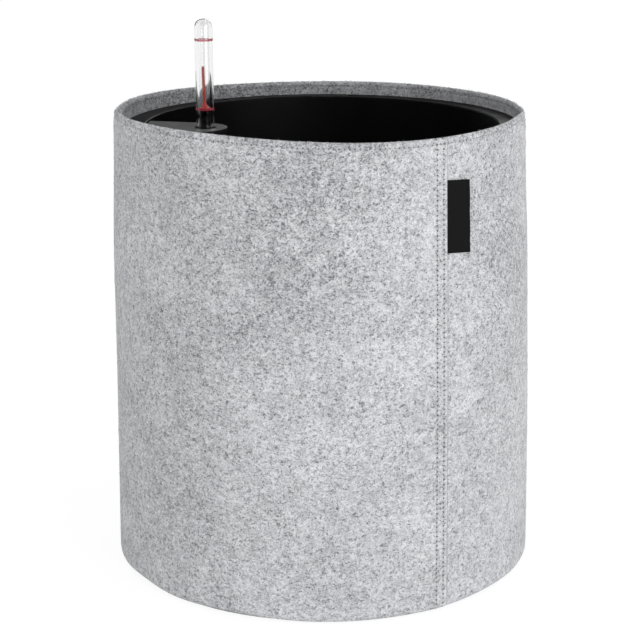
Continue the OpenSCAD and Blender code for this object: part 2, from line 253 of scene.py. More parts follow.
def heather_group() -> Tree:
    """Builds the heathered fibre pattern of pressed felt.

    Returns:
        A shader group that gives the felt's colour, its surface height and its roughness.
    """
    inputs = {label: Socket.COLOUR for label in ("Light", "Dark", "Pale")}
    inputs |= {"Vector": Socket.VECTOR, "Density": Socket.NUMBER}
    outputs = {"Colour": Socket.COLOUR, "Height": Socket.NUMBER, "Roughness": Socket.NUMBER}
    g, put, out = open_group("Felt heather", TreeKind.SHADER, inputs, outputs)
    # The fibres lie a little flat, so the pattern is closer together up the wall.
    at = g.vector("MULTIPLY", put["Vector"], (1.0, 1.0, 1.18))
    # Broad clouds and smaller patches of darker felt, from -1 to 1.
    cloud = g.smooth(g.noise(at, scale=15.0, detail=3.0), 0.3, 0.7, -1.0, 1.0)
    patch = g.smooth(g.noise(at, scale=70.0), 0.3, 0.7, -1.0, 1.0)
    # Mottle of matted fibres, about a third coarse and two thirds fine.
    coarse = g.noise(at, scale=250.0, rough=0.6, warp=0.5)
    fine = g.noise(g.vector("ADD", at, (5.3, 1.9, 3.7)), scale=860.0, detail=3.0, rough=0.68, warp=0.4)
    mottle = g.plus(g.times(coarse, 0.36), g.times(fine, 0.64))
    # Winding strands, broken up along their length: two dark kinds and one pale.
    strands = []
    for strand in STRANDS:
        shift = strand.shift
        place = g.vector("ADD", at, (shift, shift * 0.37, shift * 0.71))
        line = g.smooth(g.ridge(place, strand.scale, detail=1.0, warp=1.2), strand.width, 0.0)
        gaps = g.noise(g.vector("ADD", place, (1.7, 0.6, 2.3)), scale=420.0, detail=1.0)
        strands.append(g.times(line, g.smooth(gaps, 0.5, 0.6)))
    worm = g.math("MAXIMUM", strands[0], strands[1])
    hair = strands[2]
    # Share of dark fibre, which grows with the density input (which also carries the painted shade towards the
    # left) and, where that is raised, also has dark specks.
    amount = g.times(g.smooth(mottle, 0.66, 0.34), 0.63)
    amount = g.math("MULTIPLY_ADD", worm, 0.53, amount)
    amount = g.math("MULTIPLY_ADD", g.plus(patch, cloud), 0.062, amount)
    speck = g.noise(g.vector("ADD", at, (2.7, 8.1, 4.4)), scale=520.0, detail=1.0, warp=0.8)
    extra = g.minus(put["Density"], 1.0)
    amount = g.times(amount, g.math("MULTIPLY_ADD", extra, 0.45, 1.0))
    amount = g.math("MULTIPLY_ADD", extra, 0.25, amount)
    specks = g.clamp(g.times(extra, 3.0), 0.3)
    amount = g.math("MULTIPLY_ADD", g.smooth(speck, 0.64, 0.72), specks, amount)
    body = g.blend(g.clamp(amount, 1.0), put["Light"], put["Dark"])
    height = g.math("MULTIPLY_ADD", hair, 0.4, mottle)
    g.fill(out, {
        "Colour": g.blend(g.times(hair, 0.45), body, put["Pale"]),
        "Height": g.minus(height, g.times(worm, 0.3)),
        "Roughness": g.smooth(fine, 0.35, 0.65, 0.86, 0.97),
    })
    return g.tree


def holes_group() -> Tree:
    """Builds the needle holes of a stitched row.

    Returns:
        A shader group that gives 1 in the holes, the mask of their painted shade, and a softer pull of the
        thread around them.
    """
    inputs = {label: Socket.NUMBER for label in ("Along", "Across", "Pitch", "Hole")}
    outputs = {"Mask": Socket.NUMBER, "Pull": Socket.NUMBER}
    g, put, out = open_group("Needle holes", TreeKind.SHADER, inputs, outputs)
    # Distance from the nearest hole of the row, in hole radii.
    step = g.minus(g.math("FRACT", g.math("DIVIDE", put["Along"], put["Pitch"])), 0.5)
    along = g.math("POWER", g.times(step, put["Pitch"]), 2.0)
    away = g.math("SQRT", g.plus(along, g.math("POWER", put["Across"], 2.0)))
    near = g.math("DIVIDE", away, put["Hole"])
    g.fill(out, {"Mask": g.smooth(near, 1.25, 0.55), "Pull": g.smooth(near, 2.6, 0.5)})
    return g.tree


def moulded_group() -> Tree:
    """Builds the grain, scuffs and dust of moulded plastic.

    Returns:
        A shader group that gives a grain height, a roughness and a dust mask.
    """
    inputs = {label: Socket.NUMBER for label in ("Grain", "Roughness", "Scuff")}
    inputs |= {"Vector": Socket.VECTOR}
    outputs = {label: Socket.NUMBER for label in ("Height", "Roughness", "Dust")}
    g, put, out = open_group("Moulded plastic", TreeKind.SHADER, inputs, outputs)
    at = put["Vector"]
    flow = g.noise(at, scale=26.0, detail=3.0)
    # Scuffs are short level scratches, in the places that the flow marks choose.
    stretched = g.vector("MULTIPLY", at, (1.0, 1.0, 6.0))
    scratch = g.ridge(stretched, 140.0, detail=3.0, rough=0.6, warp=0.8)
    scuff = g.times(g.smooth(scratch, 0.02, 0.0), g.smooth(flow, 0.5, 0.7))
    rough = g.math("MULTIPLY_ADD", scuff, put["Scuff"], put["Roughness"])
    specks = g.smooth(g.noise(at, scale=1900.0, detail=1.0), 0.66, 0.78)
    g.fill(out, {
        "Height": g.minus(g.noise(at, put["Grain"]), g.times(scuff, 0.3)),
        "Roughness": g.plus(rough, g.smooth(flow, 0.3, 0.7, -0.03, 0.05)),
        "Dust": g.times(specks, g.smooth(flow, 0.35, 0.75)),
    })
    return g.tree


HEATHER = heather_group()
HOLES = holes_group()
MOULDED = moulded_group()


# Finishes


class RowAxis(Enum):
    """Directions of a stitched row on the felt: round the pot or up the wall."""

    ROUND = 0
    UP = 1


@dataclass(frozen=True)
class StitchRow:
    """One row of needle holes on a felt piece, in metres of its own UV map, with the strength of the painted
    shade in its holes.
    """

    axis: RowAxis
    place: float
    pitch: float
    shade: float


@dataclass(frozen=True)
class Cloud:
    """A soft spot where the felt has more dark fibres, with its reach along each axis in metres."""

    middle: Place
    reach: Place
    gain: float


def new_material(name: str) -> tuple[Material, Graph, Node]:
    """Makes a node material.

    Args:
        name: name of the material.

    Returns:
        The material, the graph of its nodes and its Principled shader.
    """
    material = bpy.data.materials.new(name)
    material.use_nodes = True
    material.node_tree.nodes.clear()
    graph = Graph(material.node_tree)
    shader = graph.add("ShaderNodeBsdfPrincipled")
    graph.add("ShaderNodeOutputMaterial", {"Surface": shader.outputs[0]})
    return material, graph, shader


def shaded(colour: Colour, share: float) -> Colour:
    """Returns a lighter or darker tone of a colour."""
    return tuple(c * share for c in colour)


@dataclass(frozen=True)
class Finish:
    """A finish, which gives its pieces one material."""

    name: str

    def look(self, g: Graph) -> Inputs:
        """Builds the finish's nodes and gives the inputs of its shader."""
        raise NotImplementedError

    def material(self) -> Material:
        """Builds the material.

        Returns:
            The material, with the look of this finish.
        """
        material, g, shader = new_material(self.name)
        g.fill(shader, self.look(g))
        return material


@dataclass(frozen=True)
class FeltFinish(Finish):
    """Heathered wool felt, with more dark fibres towards the left as painted shade, painted shade in the
    needle holes of its stitched rows, and if so set a painted highlight and a painted shadow along its lap.
    """

    light: Colour = (0.78, 0.785, 0.81)
    dark: Colour = (0.15, 0.154, 0.168)
    pale: Colour = (0.92, 0.93, 0.95)
    hole_shadow: Colour = (0.045, 0.047, 0.052)
    left_shade_density: float = 1.1
    left_shade_span: Pair = (50 * MM, -110 * MM)
    clouds: tuple[Cloud, ...] = ()
    rows: tuple[StitchRow, ...] = ()
    hole: float = 0.72 * MM
    pull: float = 0.9
    relief: float = 0.35 * MM
    lapped: bool = False
    lap_highlight: float = 0.5
    lap_shadow: float = 0.42

    def look(self, g: Graph) -> Inputs:
        """Builds the felt's nodes.

        Args:
            g: graph of the material.

        Returns:
            The inputs of its shader.
        """
        at = g.place()
        # Painted shade: the felt gets more dark fibres towards the left, the side away from the key lamp, and
        # more again in the clouds.
        dark_fibre_share = g.smooth(g.split(at)[0], *self.left_shade_span, 1.0, self.left_shade_density)
        for cloud in self.clouds:
            away = g.vector("DIVIDE", g.vector("SUBTRACT", at, cloud.middle), cloud.reach)
            far = g.add("ShaderNodeVectorMath", {0: away}, operation="LENGTH").outputs["Value"]
            dark_fibre_share = g.plus(dark_fibre_share, g.smooth(far, 1.0, 0.0, 0.0, cloud.gain))
        inputs = {"Vector": at, "Light": self.light, "Dark": self.dark, "Pale": self.pale, "Density": dark_fibre_share}
        felt = g.add("ShaderNodeGroup", inputs, node_tree=HEATHER).outputs
        colour, height = felt["Colour"], felt["Height"]
        # Painted highlight along the lap's rounded cut edge, and painted shadow on the strip just right of it.
        if self.lapped:
            colour = g.blend(g.times(g.mark("lap_edge_highlight"), self.lap_highlight), colour, self.pale)
            colour = g.blend(g.times(g.mark("lap_shade"), self.lap_shadow), colour, self.dark)
        uv = g.split(g.one("ShaderNodeUVMap", uv_map=UV_NAME))
        for row in self.rows:
            across = g.minus(uv[1 - row.axis.value], row.place)
            inputs = {"Along": uv[row.axis.value], "Across": across, "Pitch": row.pitch, "Hole": self.hole}
            hole = g.add("ShaderNodeGroup", inputs, node_tree=HOLES).outputs
            # Painted shade in each needle hole; the pull dents the bump round it.
            colour = g.blend(g.times(hole["Mask"], row.shade), colour, self.hole_shadow)
            height = g.minus(height, g.times(hole["Pull"], self.pull))
        return {
            "Base Color": colour,
            "Roughness": felt["Roughness"],
            "Sheen Weight": 0.18,
            "Sheen Roughness": 0.55,
            "Specular IOR Level": 0.15,
            "Normal": g.bump(height, self.relief, 0.8),
        }


@dataclass(frozen=True)
class FuzzFinish(Finish):
    """Loose surface fibres of the felt, from charcoal to white, with greyed twists."""

    charcoal: Colour = (0.16, 0.165, 0.18)
    white: Colour = (0.86, 0.87, 0.89)
    grey: Colour = (0.5, 0.5, 0.52)

    def look(self, g: Graph) -> Inputs:
        """Builds the fibres' nodes.

        Args:
            g: graph of the material.

        Returns:
            The inputs of their shader.
        """
        tone = g.blend(g.smooth(g.mark("tone"), 0.45, 0.95), self.charcoal, self.white)
        twist = g.noise(g.place(), scale=2400.0, detail=1.0)
        return {
            "Base Color": g.blend(g.times(twist, 0.25), tone, self.grey),
            "Roughness": g.smooth(twist, 0.3, 0.7, 0.75, 0.95),
        }


@dataclass(frozen=True)
class ThreadFinish(Finish):
    """Twisted sewing thread."""

    colour: Colour = (0.58, 0.585, 0.6)
    relief: float = 0.08 * MM

    def look(self, g: Graph) -> Inputs:
        """Builds the thread's nodes.

        Args:
            g: graph of the material.

        Returns:
            The inputs of its shader.
        """
        at = g.place()
        inputs = {"Vector": at, "Scale": 900.0, "Distortion": 3.0, "Detail": 1.0}
        ply = g.add("ShaderNodeTexWave", inputs, bands_direction="DIAGONAL").outputs["Fac"]
        shade = g.times(g.plus(ply, g.noise(at, scale=500.0)), 0.35)
        return {
            "Base Color": g.blend(shade, self.colour, shaded(self.colour, 0.45)),
            "Roughness": g.smooth(ply, 0.0, 1.0, 0.62, 0.8),
            "Sheen Weight": 0.15,
            "Normal": g.bump(ply, self.relief, 0.6),
        }


@dataclass(frozen=True)
class TagFinish(Finish):
    """Closely woven black ribbon with a little lint."""

    name: str = "tag_ribbon"
    colour: Colour = (0.0042, 0.0042, 0.0046)
    lint: Colour = (0.06, 0.06, 0.065)
    rib: float = 0.42 * MM
    warp_share: float = 1.35
    relief: float = 0.12 * MM

    def look(self, g: Graph) -> Inputs:
        """Builds the ribbon's nodes.

        Args:
            g: graph of the material.

        Returns:
            The inputs of its shader.
        """
        uv = g.split(g.one("ShaderNodeUVMap", uv_map=UV_NAME))
        turns = 2.0 * math.pi / self.rib
        weft = g.math("SINE", g.times(uv[1], turns))
        warp = g.math("SINE", g.times(uv[0], turns * self.warp_share))
        weave = g.math("MULTIPLY_ADD", g.times(weft, warp), 0.5, 0.5)
        specks = g.smooth(g.noise(g.place(), scale=1300.0), 0.66, 0.8)
        base = g.blend(g.times(weave, 0.5), self.colour, shaded(self.colour, 2.4))
        return {
            "Base Color": g.blend(g.times(specks, 0.12), base, self.lint),
            "Roughness": g.smooth(weave, 0.0, 1.0, 0.6, 0.78),
            "Specular IOR Level": 0.12,
            "Normal": g.bump(weave, self.relief, 0.7),
        }


@dataclass(frozen=True)
class PlasticFinish(Finish):
    """Moulded plastic with a fine grain, faint scuffs and a little dust, and if so set a painted shade that
    darkens its upright sides.
    """

    colour: Colour
    roughness: float = 0.45
    grain: float = 1500.0
    relief: float = 0.04 * MM
    scuff: float = 0.12
    dust: float = 0.25
    dust_colour: Colour = (0.2, 0.19, 0.18)
    specular: float = 0.3
    clear: float = 0.0
    cover: float = 1.0
    sides: float = 1.0

    def look(self, g: Graph) -> Inputs:
        """Builds the plastic's nodes.

        Args:
            g: graph of the material.

        Returns:
            The inputs of its shader.
        """
        at = g.place()
        inputs = {"Vector": at, "Grain": self.grain, "Roughness": self.roughness, "Scuff": self.scuff}
        skin = g.add("ShaderNodeGroup", inputs, node_tree=MOULDED).outputs
        flow = g.smooth(g.noise(at, scale=34.0, detail=3.0, rough=0.55), 0.3, 0.7)
        base = g.blend(flow, shaded(self.colour, 0.85), shaded(self.colour, 1.15))
        # Painted shade: faces that stand upright get a darker tone.
        if self.sides < 1.0:
            upright = g.smooth(g.split(g.place("Normal"))[2], 0.85, 0.35)
            base = g.blend(upright, base, shaded(self.colour, self.sides))
        return {
            "Base Color": g.blend(g.times(skin["Dust"], self.dust), base, self.dust_colour),
            "Roughness": skin["Roughness"],
            "Specular IOR Level": self.specular,
            "Transmission Weight": self.clear,
            "Alpha": self.cover,
            "Normal": g.bump(skin["Height"], self.relief, 0.5),
        }


@dataclass(frozen=True)
class HighlightLine:
    """A painted highlight line along the tube, paler in colour and with a gloss coat: place and half width in
    shares of the radius, and its gloss.
    """

    place: float
    half: float
    shine: float


@dataclass(frozen=True)
class ClearFinish(Finish):
    """Clear drawn plastic, with faint paler streaks and painted highlight lines along the tube."""

    middle: float
    radius: float
    colour: Colour = (0.868, 0.875, 0.872)
    pale: Colour = (0.995, 0.997, 0.997)
    lines: tuple[HighlightLine, ...] = (
        HighlightLine(-0.97, 0.06, 1.0),
        HighlightLine(-0.39, 0.1, 0.4),
        HighlightLine(0.3, 0.12, 1.0),
        HighlightLine(0.96, 0.06, 0.8),
    )
    index: float = 1.47
    relief: float = 0.02 * MM

    def look(self, g: Graph) -> Inputs:
        """Builds the clear plastic's nodes.

        Args:
            g: graph of the material.

        Returns:
            The inputs of its shader.
        """
        at = g.place()
        drawn = g.noise(g.vector("MULTIPLY", at, (1.0, 1.0, 0.02)), scale=900.0)
        across = g.math("DIVIDE", g.minus(g.split(at)[0], self.middle), self.radius)
        streaks = g.noise(g.vector("MULTIPLY", at, (1.0, 1.0, 0.01)), scale=330.0, detail=1.0)
        band = g.smooth(streaks, 0.35, 0.65, 0.0, 0.12)
        gloss: Any = 0.0
        # Each line is a painted highlight: a paler base colour, with a gloss coat as well.
        for line in self.lines:
            away = g.math("ABSOLUTE", g.minus(across, line.place))
            mask = g.smooth(away, line.half * 1.6, line.half * 0.4)
            band = g.math("MAXIMUM", band, mask)
            gloss = g.math("MAXIMUM", gloss, g.times(mask, line.shine))
        return {
            "Base Color": g.blend(band, self.colour, self.pale),
            "Roughness": g.smooth(drawn, 0.3, 0.7, 0.015, 0.05),
            "IOR": self.index,
            "Coat Weight": gloss,
            "Coat Roughness": 0.12,
            "Transmission Weight": 1.0,
            "Normal": g.bump(drawn, self.relief, 0.25),
        }


@dataclass(frozen=True)
class FoamFinish(Finish):
    """Closed-cell foam with fine pores."""

    name: str = "float_foam"
    colour: Colour = (0.78, 0.78, 0.75)
    pore: Colour = (0.42, 0.41, 0.38)
    relief: float = 0.2 * MM

    def look(self, g: Graph) -> Inputs:
        """Builds the foam's nodes.

        Args:
            g: graph of the material.

        Returns:
            The inputs of its shader.
        """
        cell = g.add("ShaderNodeTexVoronoi", {"Vector": g.place(), "Scale": 1400.0}).outputs["Distance"]
        pore = g.smooth(cell, 0.35, 0.05)
        return {
            "Base Color": g.blend(g.times(pore, 0.45), self.colour, self.pore),
            "Roughness": g.smooth(pore, 0.0, 1.0, 0.7, 0.9),
            "Normal": g.bump(g.minus(1.0, pore), self.relief, 0.7),
        }


# Meshes


def link(name: str, data: Any) -> Thing:
    """Makes an object from its data.

    Args:
        name: name of the object.
        data: mesh, lamp or camera that it shows.

    Returns:
        The object, linked to the scene.
    """
    thing = bpy.data.objects.new(name, data)
    bpy.context.scene.collection.objects.link(thing)
    return thing


def bare_mesh(name: str, verts: Array, edges: Sequence, faces: Sequence) -> bpy.types.Mesh:
    """Makes a mesh.

    Args:
        name: name of the mesh.
        verts: points, one row each, in metres.
        edges: point numbers of each loose edge.
        faces: point numbers of each face.

    Returns:
        The mesh, without a material.
    """
    mesh = bpy.data.meshes.new(name)
    mesh.from_pydata(verts.tolist(), edges, [list(map(int, face)) for face in faces])
    return mesh


def piece(name: str, verts: Array, faces: Sequence, material: Material, uv: Array | None = None) -> Thing:
    """Makes a smooth mesh object at the origin.

    Args:
        name: name of the piece.
        verts: points, one row each, in metres.
        faces: point numbers of each face.
        material: its material.
        uv: coordinates of each face corner, in metres along the surface.

    Returns:
        The object, linked to the scene.
    """
    mesh = bare_mesh(name, verts, [], faces)
    mesh.polygons.foreach_set("use_smooth", [True] * len(mesh.polygons))
    if uv is not None:
        mesh.uv_layers.new(name=UV_NAME).data.foreach_set("uv", uv.astype(np.float32).ravel())
    mesh.materials.append(material)
    mesh.update()
    return link(name, mesh)


def loop_faces(rows: int, columns: int) -> Array:
    """Gives the faces of a closed profile that goes round in steps.

    Args:
        rows: points on the closed profile.
        columns: steps round.

    Returns:
        Four point numbers a face, ordered by row and then by column.
    """
    i, j = np.meshgrid(np.arange(rows), np.arange(columns), indexing="ij")
    k, m = (i + 1) % rows, (j + 1) % columns
    quads = np.stack([i * columns + j, i * columns + m, k * columns + m, k * columns + j], -1)
    return quads.reshape(-1, 4)


def lathe(profile: Sequence[Pair], centre: Pair, columns: int) -> tuple[Array, list[list[int]]]:
    """Turns a profile about an upright axis.

    Args:
        profile: radius and height of each point, up the outside.
        centre: place of the axis.
        columns: steps round.

    Returns:
        Points and faces of the turned shape. The first and last points are joined if both are off the axis.
    """
    verts: list[Place] = []
    rings: list[list[int]] = []
    angles = np.linspace(0.0, 2.0 * math.pi, columns, endpoint=False)
    for radius, height in profile:
        start = len(verts)
        if radius < ON_AXIS:
            verts.append((*centre, height))
            rings.append([start] * columns)
        else:
            east, north = centre[0] + radius * np.cos(angles), centre[1] + radius * np.sin(angles)
            verts += [(x, y, height) for x, y in zip(east, north)]
            rings.append(list(range(start, start + columns)))
    pairs = list(zip(rings, rings[1:]))
    if min(profile[0][0], profile[-1][0]) > ON_AXIS:
        pairs.append((rings[-1], rings[0]))
    faces = []
    for low, high in pairs:
        for j in range(columns):
            m = (j + 1) % columns
            faces.append(list(dict.fromkeys([low[j], low[m], high[m], high[j]])))
    return np.array(verts), faces


def quarter(centre: Pair, size: Pair, start: float, steps: int) -> list[Pair]:
    """Gives points on a quarter of an ellipse.

    Args:
        centre: radius and height of its middle.
        size: half its width and half its height.
        start: first angle in degrees, which goes up by 90.
        steps: number of steps.

    Returns:
        Radius and height of each point.
    """
    turn = np.radians(start + np.linspace(0.0, 90.0, steps + 1))
    return [(centre[0] + size[0] * math.cos(t), centre[1] + size[1] * math.sin(t)) for t in turn]


def rounded(radius: float, low: float, high: float, edge: float, steps: int) -> tuple[list[Pair], list[Pair]]:
    """Gives the rounded lower and upper outer edges of a turned shape.

    Args:
        radius: radius of the shape.
        low: height of its lower end.
        high: height of its upper end.
        edge: radius of the edges.
        steps: steps on each edge.

    Returns:
        Radius and height of each point of the lower edge and of the upper edge.
    """
    lower = quarter((radius - edge, low + edge), (edge, edge), -90.0, steps)
    return lower, quarter((radius - edge, high - edge), (edge, edge), 0.0, steps)


def grown(source: Thing, tree: Tree, values: dict[str, Any], name: str) -> Thing:
    """Runs a geometry tree on an object and keeps the result as a plain mesh.

    Args:
        source: object that carries the path or surface, which is removed.
        tree: geometry node tree.
        values: its inputs by name.
        name: name of the piece.

    Returns:
        The finished piece.
    """
    modifier = source.modifiers.new("grow", "NODES")
    modifier.node_group = tree
    for socket in tree.interface.items_tree:
        if socket.in_out == "INPUT" and socket.name in values:
            modifier[socket.identifier] = values[socket.name]
    source.update_tag()
    graph = bpy.context.evaluated_depsgraph_get()
    mesh = bpy.data.meshes.new_from_object(source.evaluated_get(graph), depsgraph=graph)
    mesh.name = name
    source.modifiers.clear()
    old = source.data
    bpy.data.objects.remove(source)
    bpy.data.meshes.remove(old)
    return link(name, mesh)


def path(lines: list[Array], closed: bool) -> Thing:
    """Makes an edge-only object along one or more lines.

    Args:
        lines: points of each line.
        closed: whether each line meets its start.

    Returns:
        The object that carries the lines.
    """
    edges: list[tuple[int, int]] = []
    start = 0
    for line in lines:
        end = start + len(line)
        edges += [(k, k + 1) for k in range(start, end - 1)]
        if closed:
            edges.append((end - 1, start))
        start = end
    return link("path", bare_mesh("path", np.concatenate(lines), edges, []))


def thread_shape(g: Graph, points: Sequence[Inputs], bends: int, radius: Output, sides: int) -> Output:
    """Makes a bent thread.

    Args:
        g: graph of the geometry tree.
        points: parts of its start, crest and end by axis number.
        bends: steps along it.
        radius: radius of the thread.
        sides: sides of the thread.

    Returns:
        The thread's mesh.
    """
    start, crest, end = (g.one("ShaderNodeCombineXYZ", parts) for parts in points)
    inputs = {"Resolution": bends, "Start": start, "Middle": crest, "End": end}
    arch = g.one("GeometryNodeCurveQuadraticBezier", inputs)
    ring = g.one("GeometryNodeCurvePrimitiveCircle", {"Resolution": sides, "Radius": radius}, mode="RADIUS")
    return g.one("GeometryNodeCurveToMesh", {"Curve": arch, "Profile Curve": ring, "Fill Caps": True})


def any_vector(g: Graph, least: Any, most: Any, seed: Any) -> Output:
    """Returns a random vector between two others."""
    inputs = {"Min": least, "Max": most, "Seed": seed}
    return g.one("FunctionNodeRandomValue", inputs, data_type="FLOAT_VECTOR")


def stitch_tree() -> Tree:
    """Builds the geometry tree that sews stitches along a path.

    Returns:
        A geometry tree that sews one stitch at each point of the path, on the side that its inputs say.
    """
    numbers = ("Stitch Length", "Thread Radius", "Lift", "Sink", "Radial")
    inputs = {"Path": Socket.SHAPE} | {label: Socket.NUMBER for label in numbers}
    inputs |= {"Flat Side": Socket.VECTOR, "Seed": Socket.WHOLE, "Thread": Socket.MATERIAL}
    g, put, out = open_group("Stitches", TreeKind.SHAPE, inputs, {"Stitches": Socket.SHAPE})
    curve = g.one("GeometryNodeMeshToCurve", {"Mesh": put["Path"]})
    points = g.add("GeometryNodeCurveToPoints", {"Curve": curve}, mode="EVALUATED").outputs
    # Each stitch lies along its path and faces away from the pot's axis, towards it or down.
    flat = g.vector("MULTIPLY", g.one("GeometryNodeInputPosition"), (1.0, 1.0, 0.0))
    inputs = {0: g.vector("NORMALIZE", flat), "Scale": put["Radial"]}
    radial = g.one("ShaderNodeVectorMath", inputs, operation="SCALE")
    side = g.vector("ADD", radial, put["Flat Side"])
    along = g.one("FunctionNodeAlignRotationToVector", {"Vector": points["Tangent"]}, axis="X")
    inputs = {"Rotation": along, "Vector": side}
    aligned = g.one("FunctionNodeAlignRotationToVector", inputs, axis="Z", pivot_axis="X")
    # The thread sinks into the felt at both ends, and its curve goes halfway to the control point above.
    half = g.times(put["Stitch Length"], 0.5)
    low = g.times(put["Sink"], -1.0)
    top = g.math("MULTIPLY_ADD", put["Lift"], 2.0, put["Sink"])
    bend = ({0: g.times(half, -1.0), 2: low}, {2: top}, {0: half, 2: low})
    inputs = {
        "Points": points["Points"],
        "Instance": thread_shape(g, bend, 6, put["Thread Radius"], 6),
        "Rotation": aligned,
        "Scale": any_vector(g, (0.93, 0.9, 0.85), (1.05, 1.12, 1.15), put["Seed"]),
    }
    sewn = g.one("GeometryNodeInstanceOnPoints", inputs)
    real = g.one("GeometryNodeRealizeInstances", {"Geometry": sewn})
    soft = g.one("GeometryNodeSetShadeSmooth", {"Geometry": real})
    g.fill(out, {0: g.one("GeometryNodeSetMaterial", {"Geometry": soft, "Material": put["Thread"]})})
    return g.tree


def fuzz_tree() -> Tree:
    """Builds the geometry tree that lays loose fibres on a felt surface.

    Returns:
        A geometry tree whose inputs set the number, length, thickness and slant of the fibres.
    """
    numbers = ("Density", "Length", "Thickness", "Stand", "Tilt")
    inputs = {"Felt": Socket.SHAPE} | {label: Socket.NUMBER for label in numbers}
    inputs |= {"Seed": Socket.WHOLE, "Fibre": Socket.MATERIAL}
    g, put, out = open_group("Loose fibres", TreeKind.SHAPE, inputs, {"Fibres": Socket.SHAPE})
    inputs = {"Mesh": put["Felt"], "Density": put["Density"], "Seed": put["Seed"]}
    spread = g.add("GeometryNodeDistributePointsOnFaces", inputs).outputs
    # A fibre starts on the felt, bends aside and ends a little off it.
    half = g.times(put["Length"], 0.5)
    bend = (
        {0: g.times(half, -1.0)},
        {1: g.times(half, 0.7), 2: g.times(put["Stand"], 1.2)},
        {0: half, 1: g.times(half, -0.25), 2: g.times(put["Stand"], 0.3)},
    )
    inputs = {
        "Points": spread["Points"],
        "Instance": thread_shape(g, bend, 4, put["Thickness"], 3),
        "Rotation": spread["Rotation"],
        "Scale": any_vector(g, (0.45, 0.45, 0.4), (1.35, 1.35, 1.3), put["Seed"]),
    }
    laid = g.one("GeometryNodeInstanceOnPoints", inputs)
    # Every fibre is turned any way round and tilted by chance.
    back = g.times(put["Tilt"], -1.0)
    least = g.one("ShaderNodeCombineXYZ", {0: back, 1: back})
    most = g.one("ShaderNodeCombineXYZ", {0: put["Tilt"], 1: put["Tilt"], 2: 2.0 * math.pi})
    inputs = {"Instances": laid, "Rotation": any_vector(g, least, most, 29), "Local Space": True}
    turned = g.one("GeometryNodeRotateInstances", inputs)
    tone = g.add("FunctionNodeRandomValue", {"Seed": 41}, data_type="FLOAT").outputs[1]
    inputs = {"Geometry": turned, "Name": "tone", "Value": tone}
    marked = g.one("GeometryNodeStoreNamedAttribute", inputs, data_type="FLOAT", domain="INSTANCE")
    real = g.one("GeometryNodeRealizeInstances", {"Geometry": marked})
    g.fill(out, {0: g.one("GeometryNodeSetMaterial", {"Geometry": real, "Material": put["Fibre"]})})
    return g.tree


def settle(thing: Thing, body: str, slot: str, *nodes: str) -> Thing:
    """Fixes a finished piece to its body.

    Args:
        thing: the piece.
        body: body that it moves with.
        slot: material slot of the record; not used.
        nodes: nodes that it stands for.

    Returns:
        The piece.
    """
    if nodes:
        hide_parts(*nodes)
    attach(thing, body)
    LOG.info("%s on %s, %d faces", thing.name, body, len(thing.data.polygons))
    return thing


def dress(finish: Finish, *nodes: str) -> None:
    """Gives nodes of the frame a finish.

    Args:
        finish: the finish.
        nodes: names of the nodes.
    """
    material = finish.material()
    for name in nodes:
        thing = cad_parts[name]
        if not thing.material_slots:
            thing.data.materials.append(material)
        for slot in thing.material_slots:
            slot.material = material
        LOG.info("%s dressed as %s", name, finish.name)


# Sub-assemblies


@dataclass(frozen=True)
class Wave:
    """A wave round the pot: ups and downs a turn, size, phase in radians and slant in radians a metre."""

    count: int
    size: float
    phase: float
    slant: float = 0.0


@dataclass(frozen=True)
class Spot:
    """A place where the felt stands up or dips: bearing and spread in degrees, and height in metres."""

    bearing: float
    spread: float
    size: float

    def height(self, turn: Array) -> Array:
        """Gives its height at a bearing in radians."""
        away = (np.degrees(turn) - self.bearing + 180.0) % 360.0 - 180.0
        return self.size * bell(away, 0.0, self.spread)


def ramp(value: Any, start: float, length: float) -> Any:
    """Gives 0 up to a start, then rises evenly to 1 over a length."""
    return np.clip((value - start) / length, 0.0, 1.0)


def ease(share: Any) -> Any:
    """Gives a share from 0 to 1 with soft ends."""
    return share * share * (3.0 - 2.0 * share)


def bell(value: Any, middle: float, width: float) -> Any:
    """Gives 1 at a middle value, and less away from it."""
    return np.exp(-(((value - middle) / width) ** 2))


def heights(*runs: tuple[float, float, float]) -> Array:
    """Gives heights in metres from runs in millimetres: start, end and step of each."""
    return np.concatenate([np.arange(*run) for run in runs]) * MM


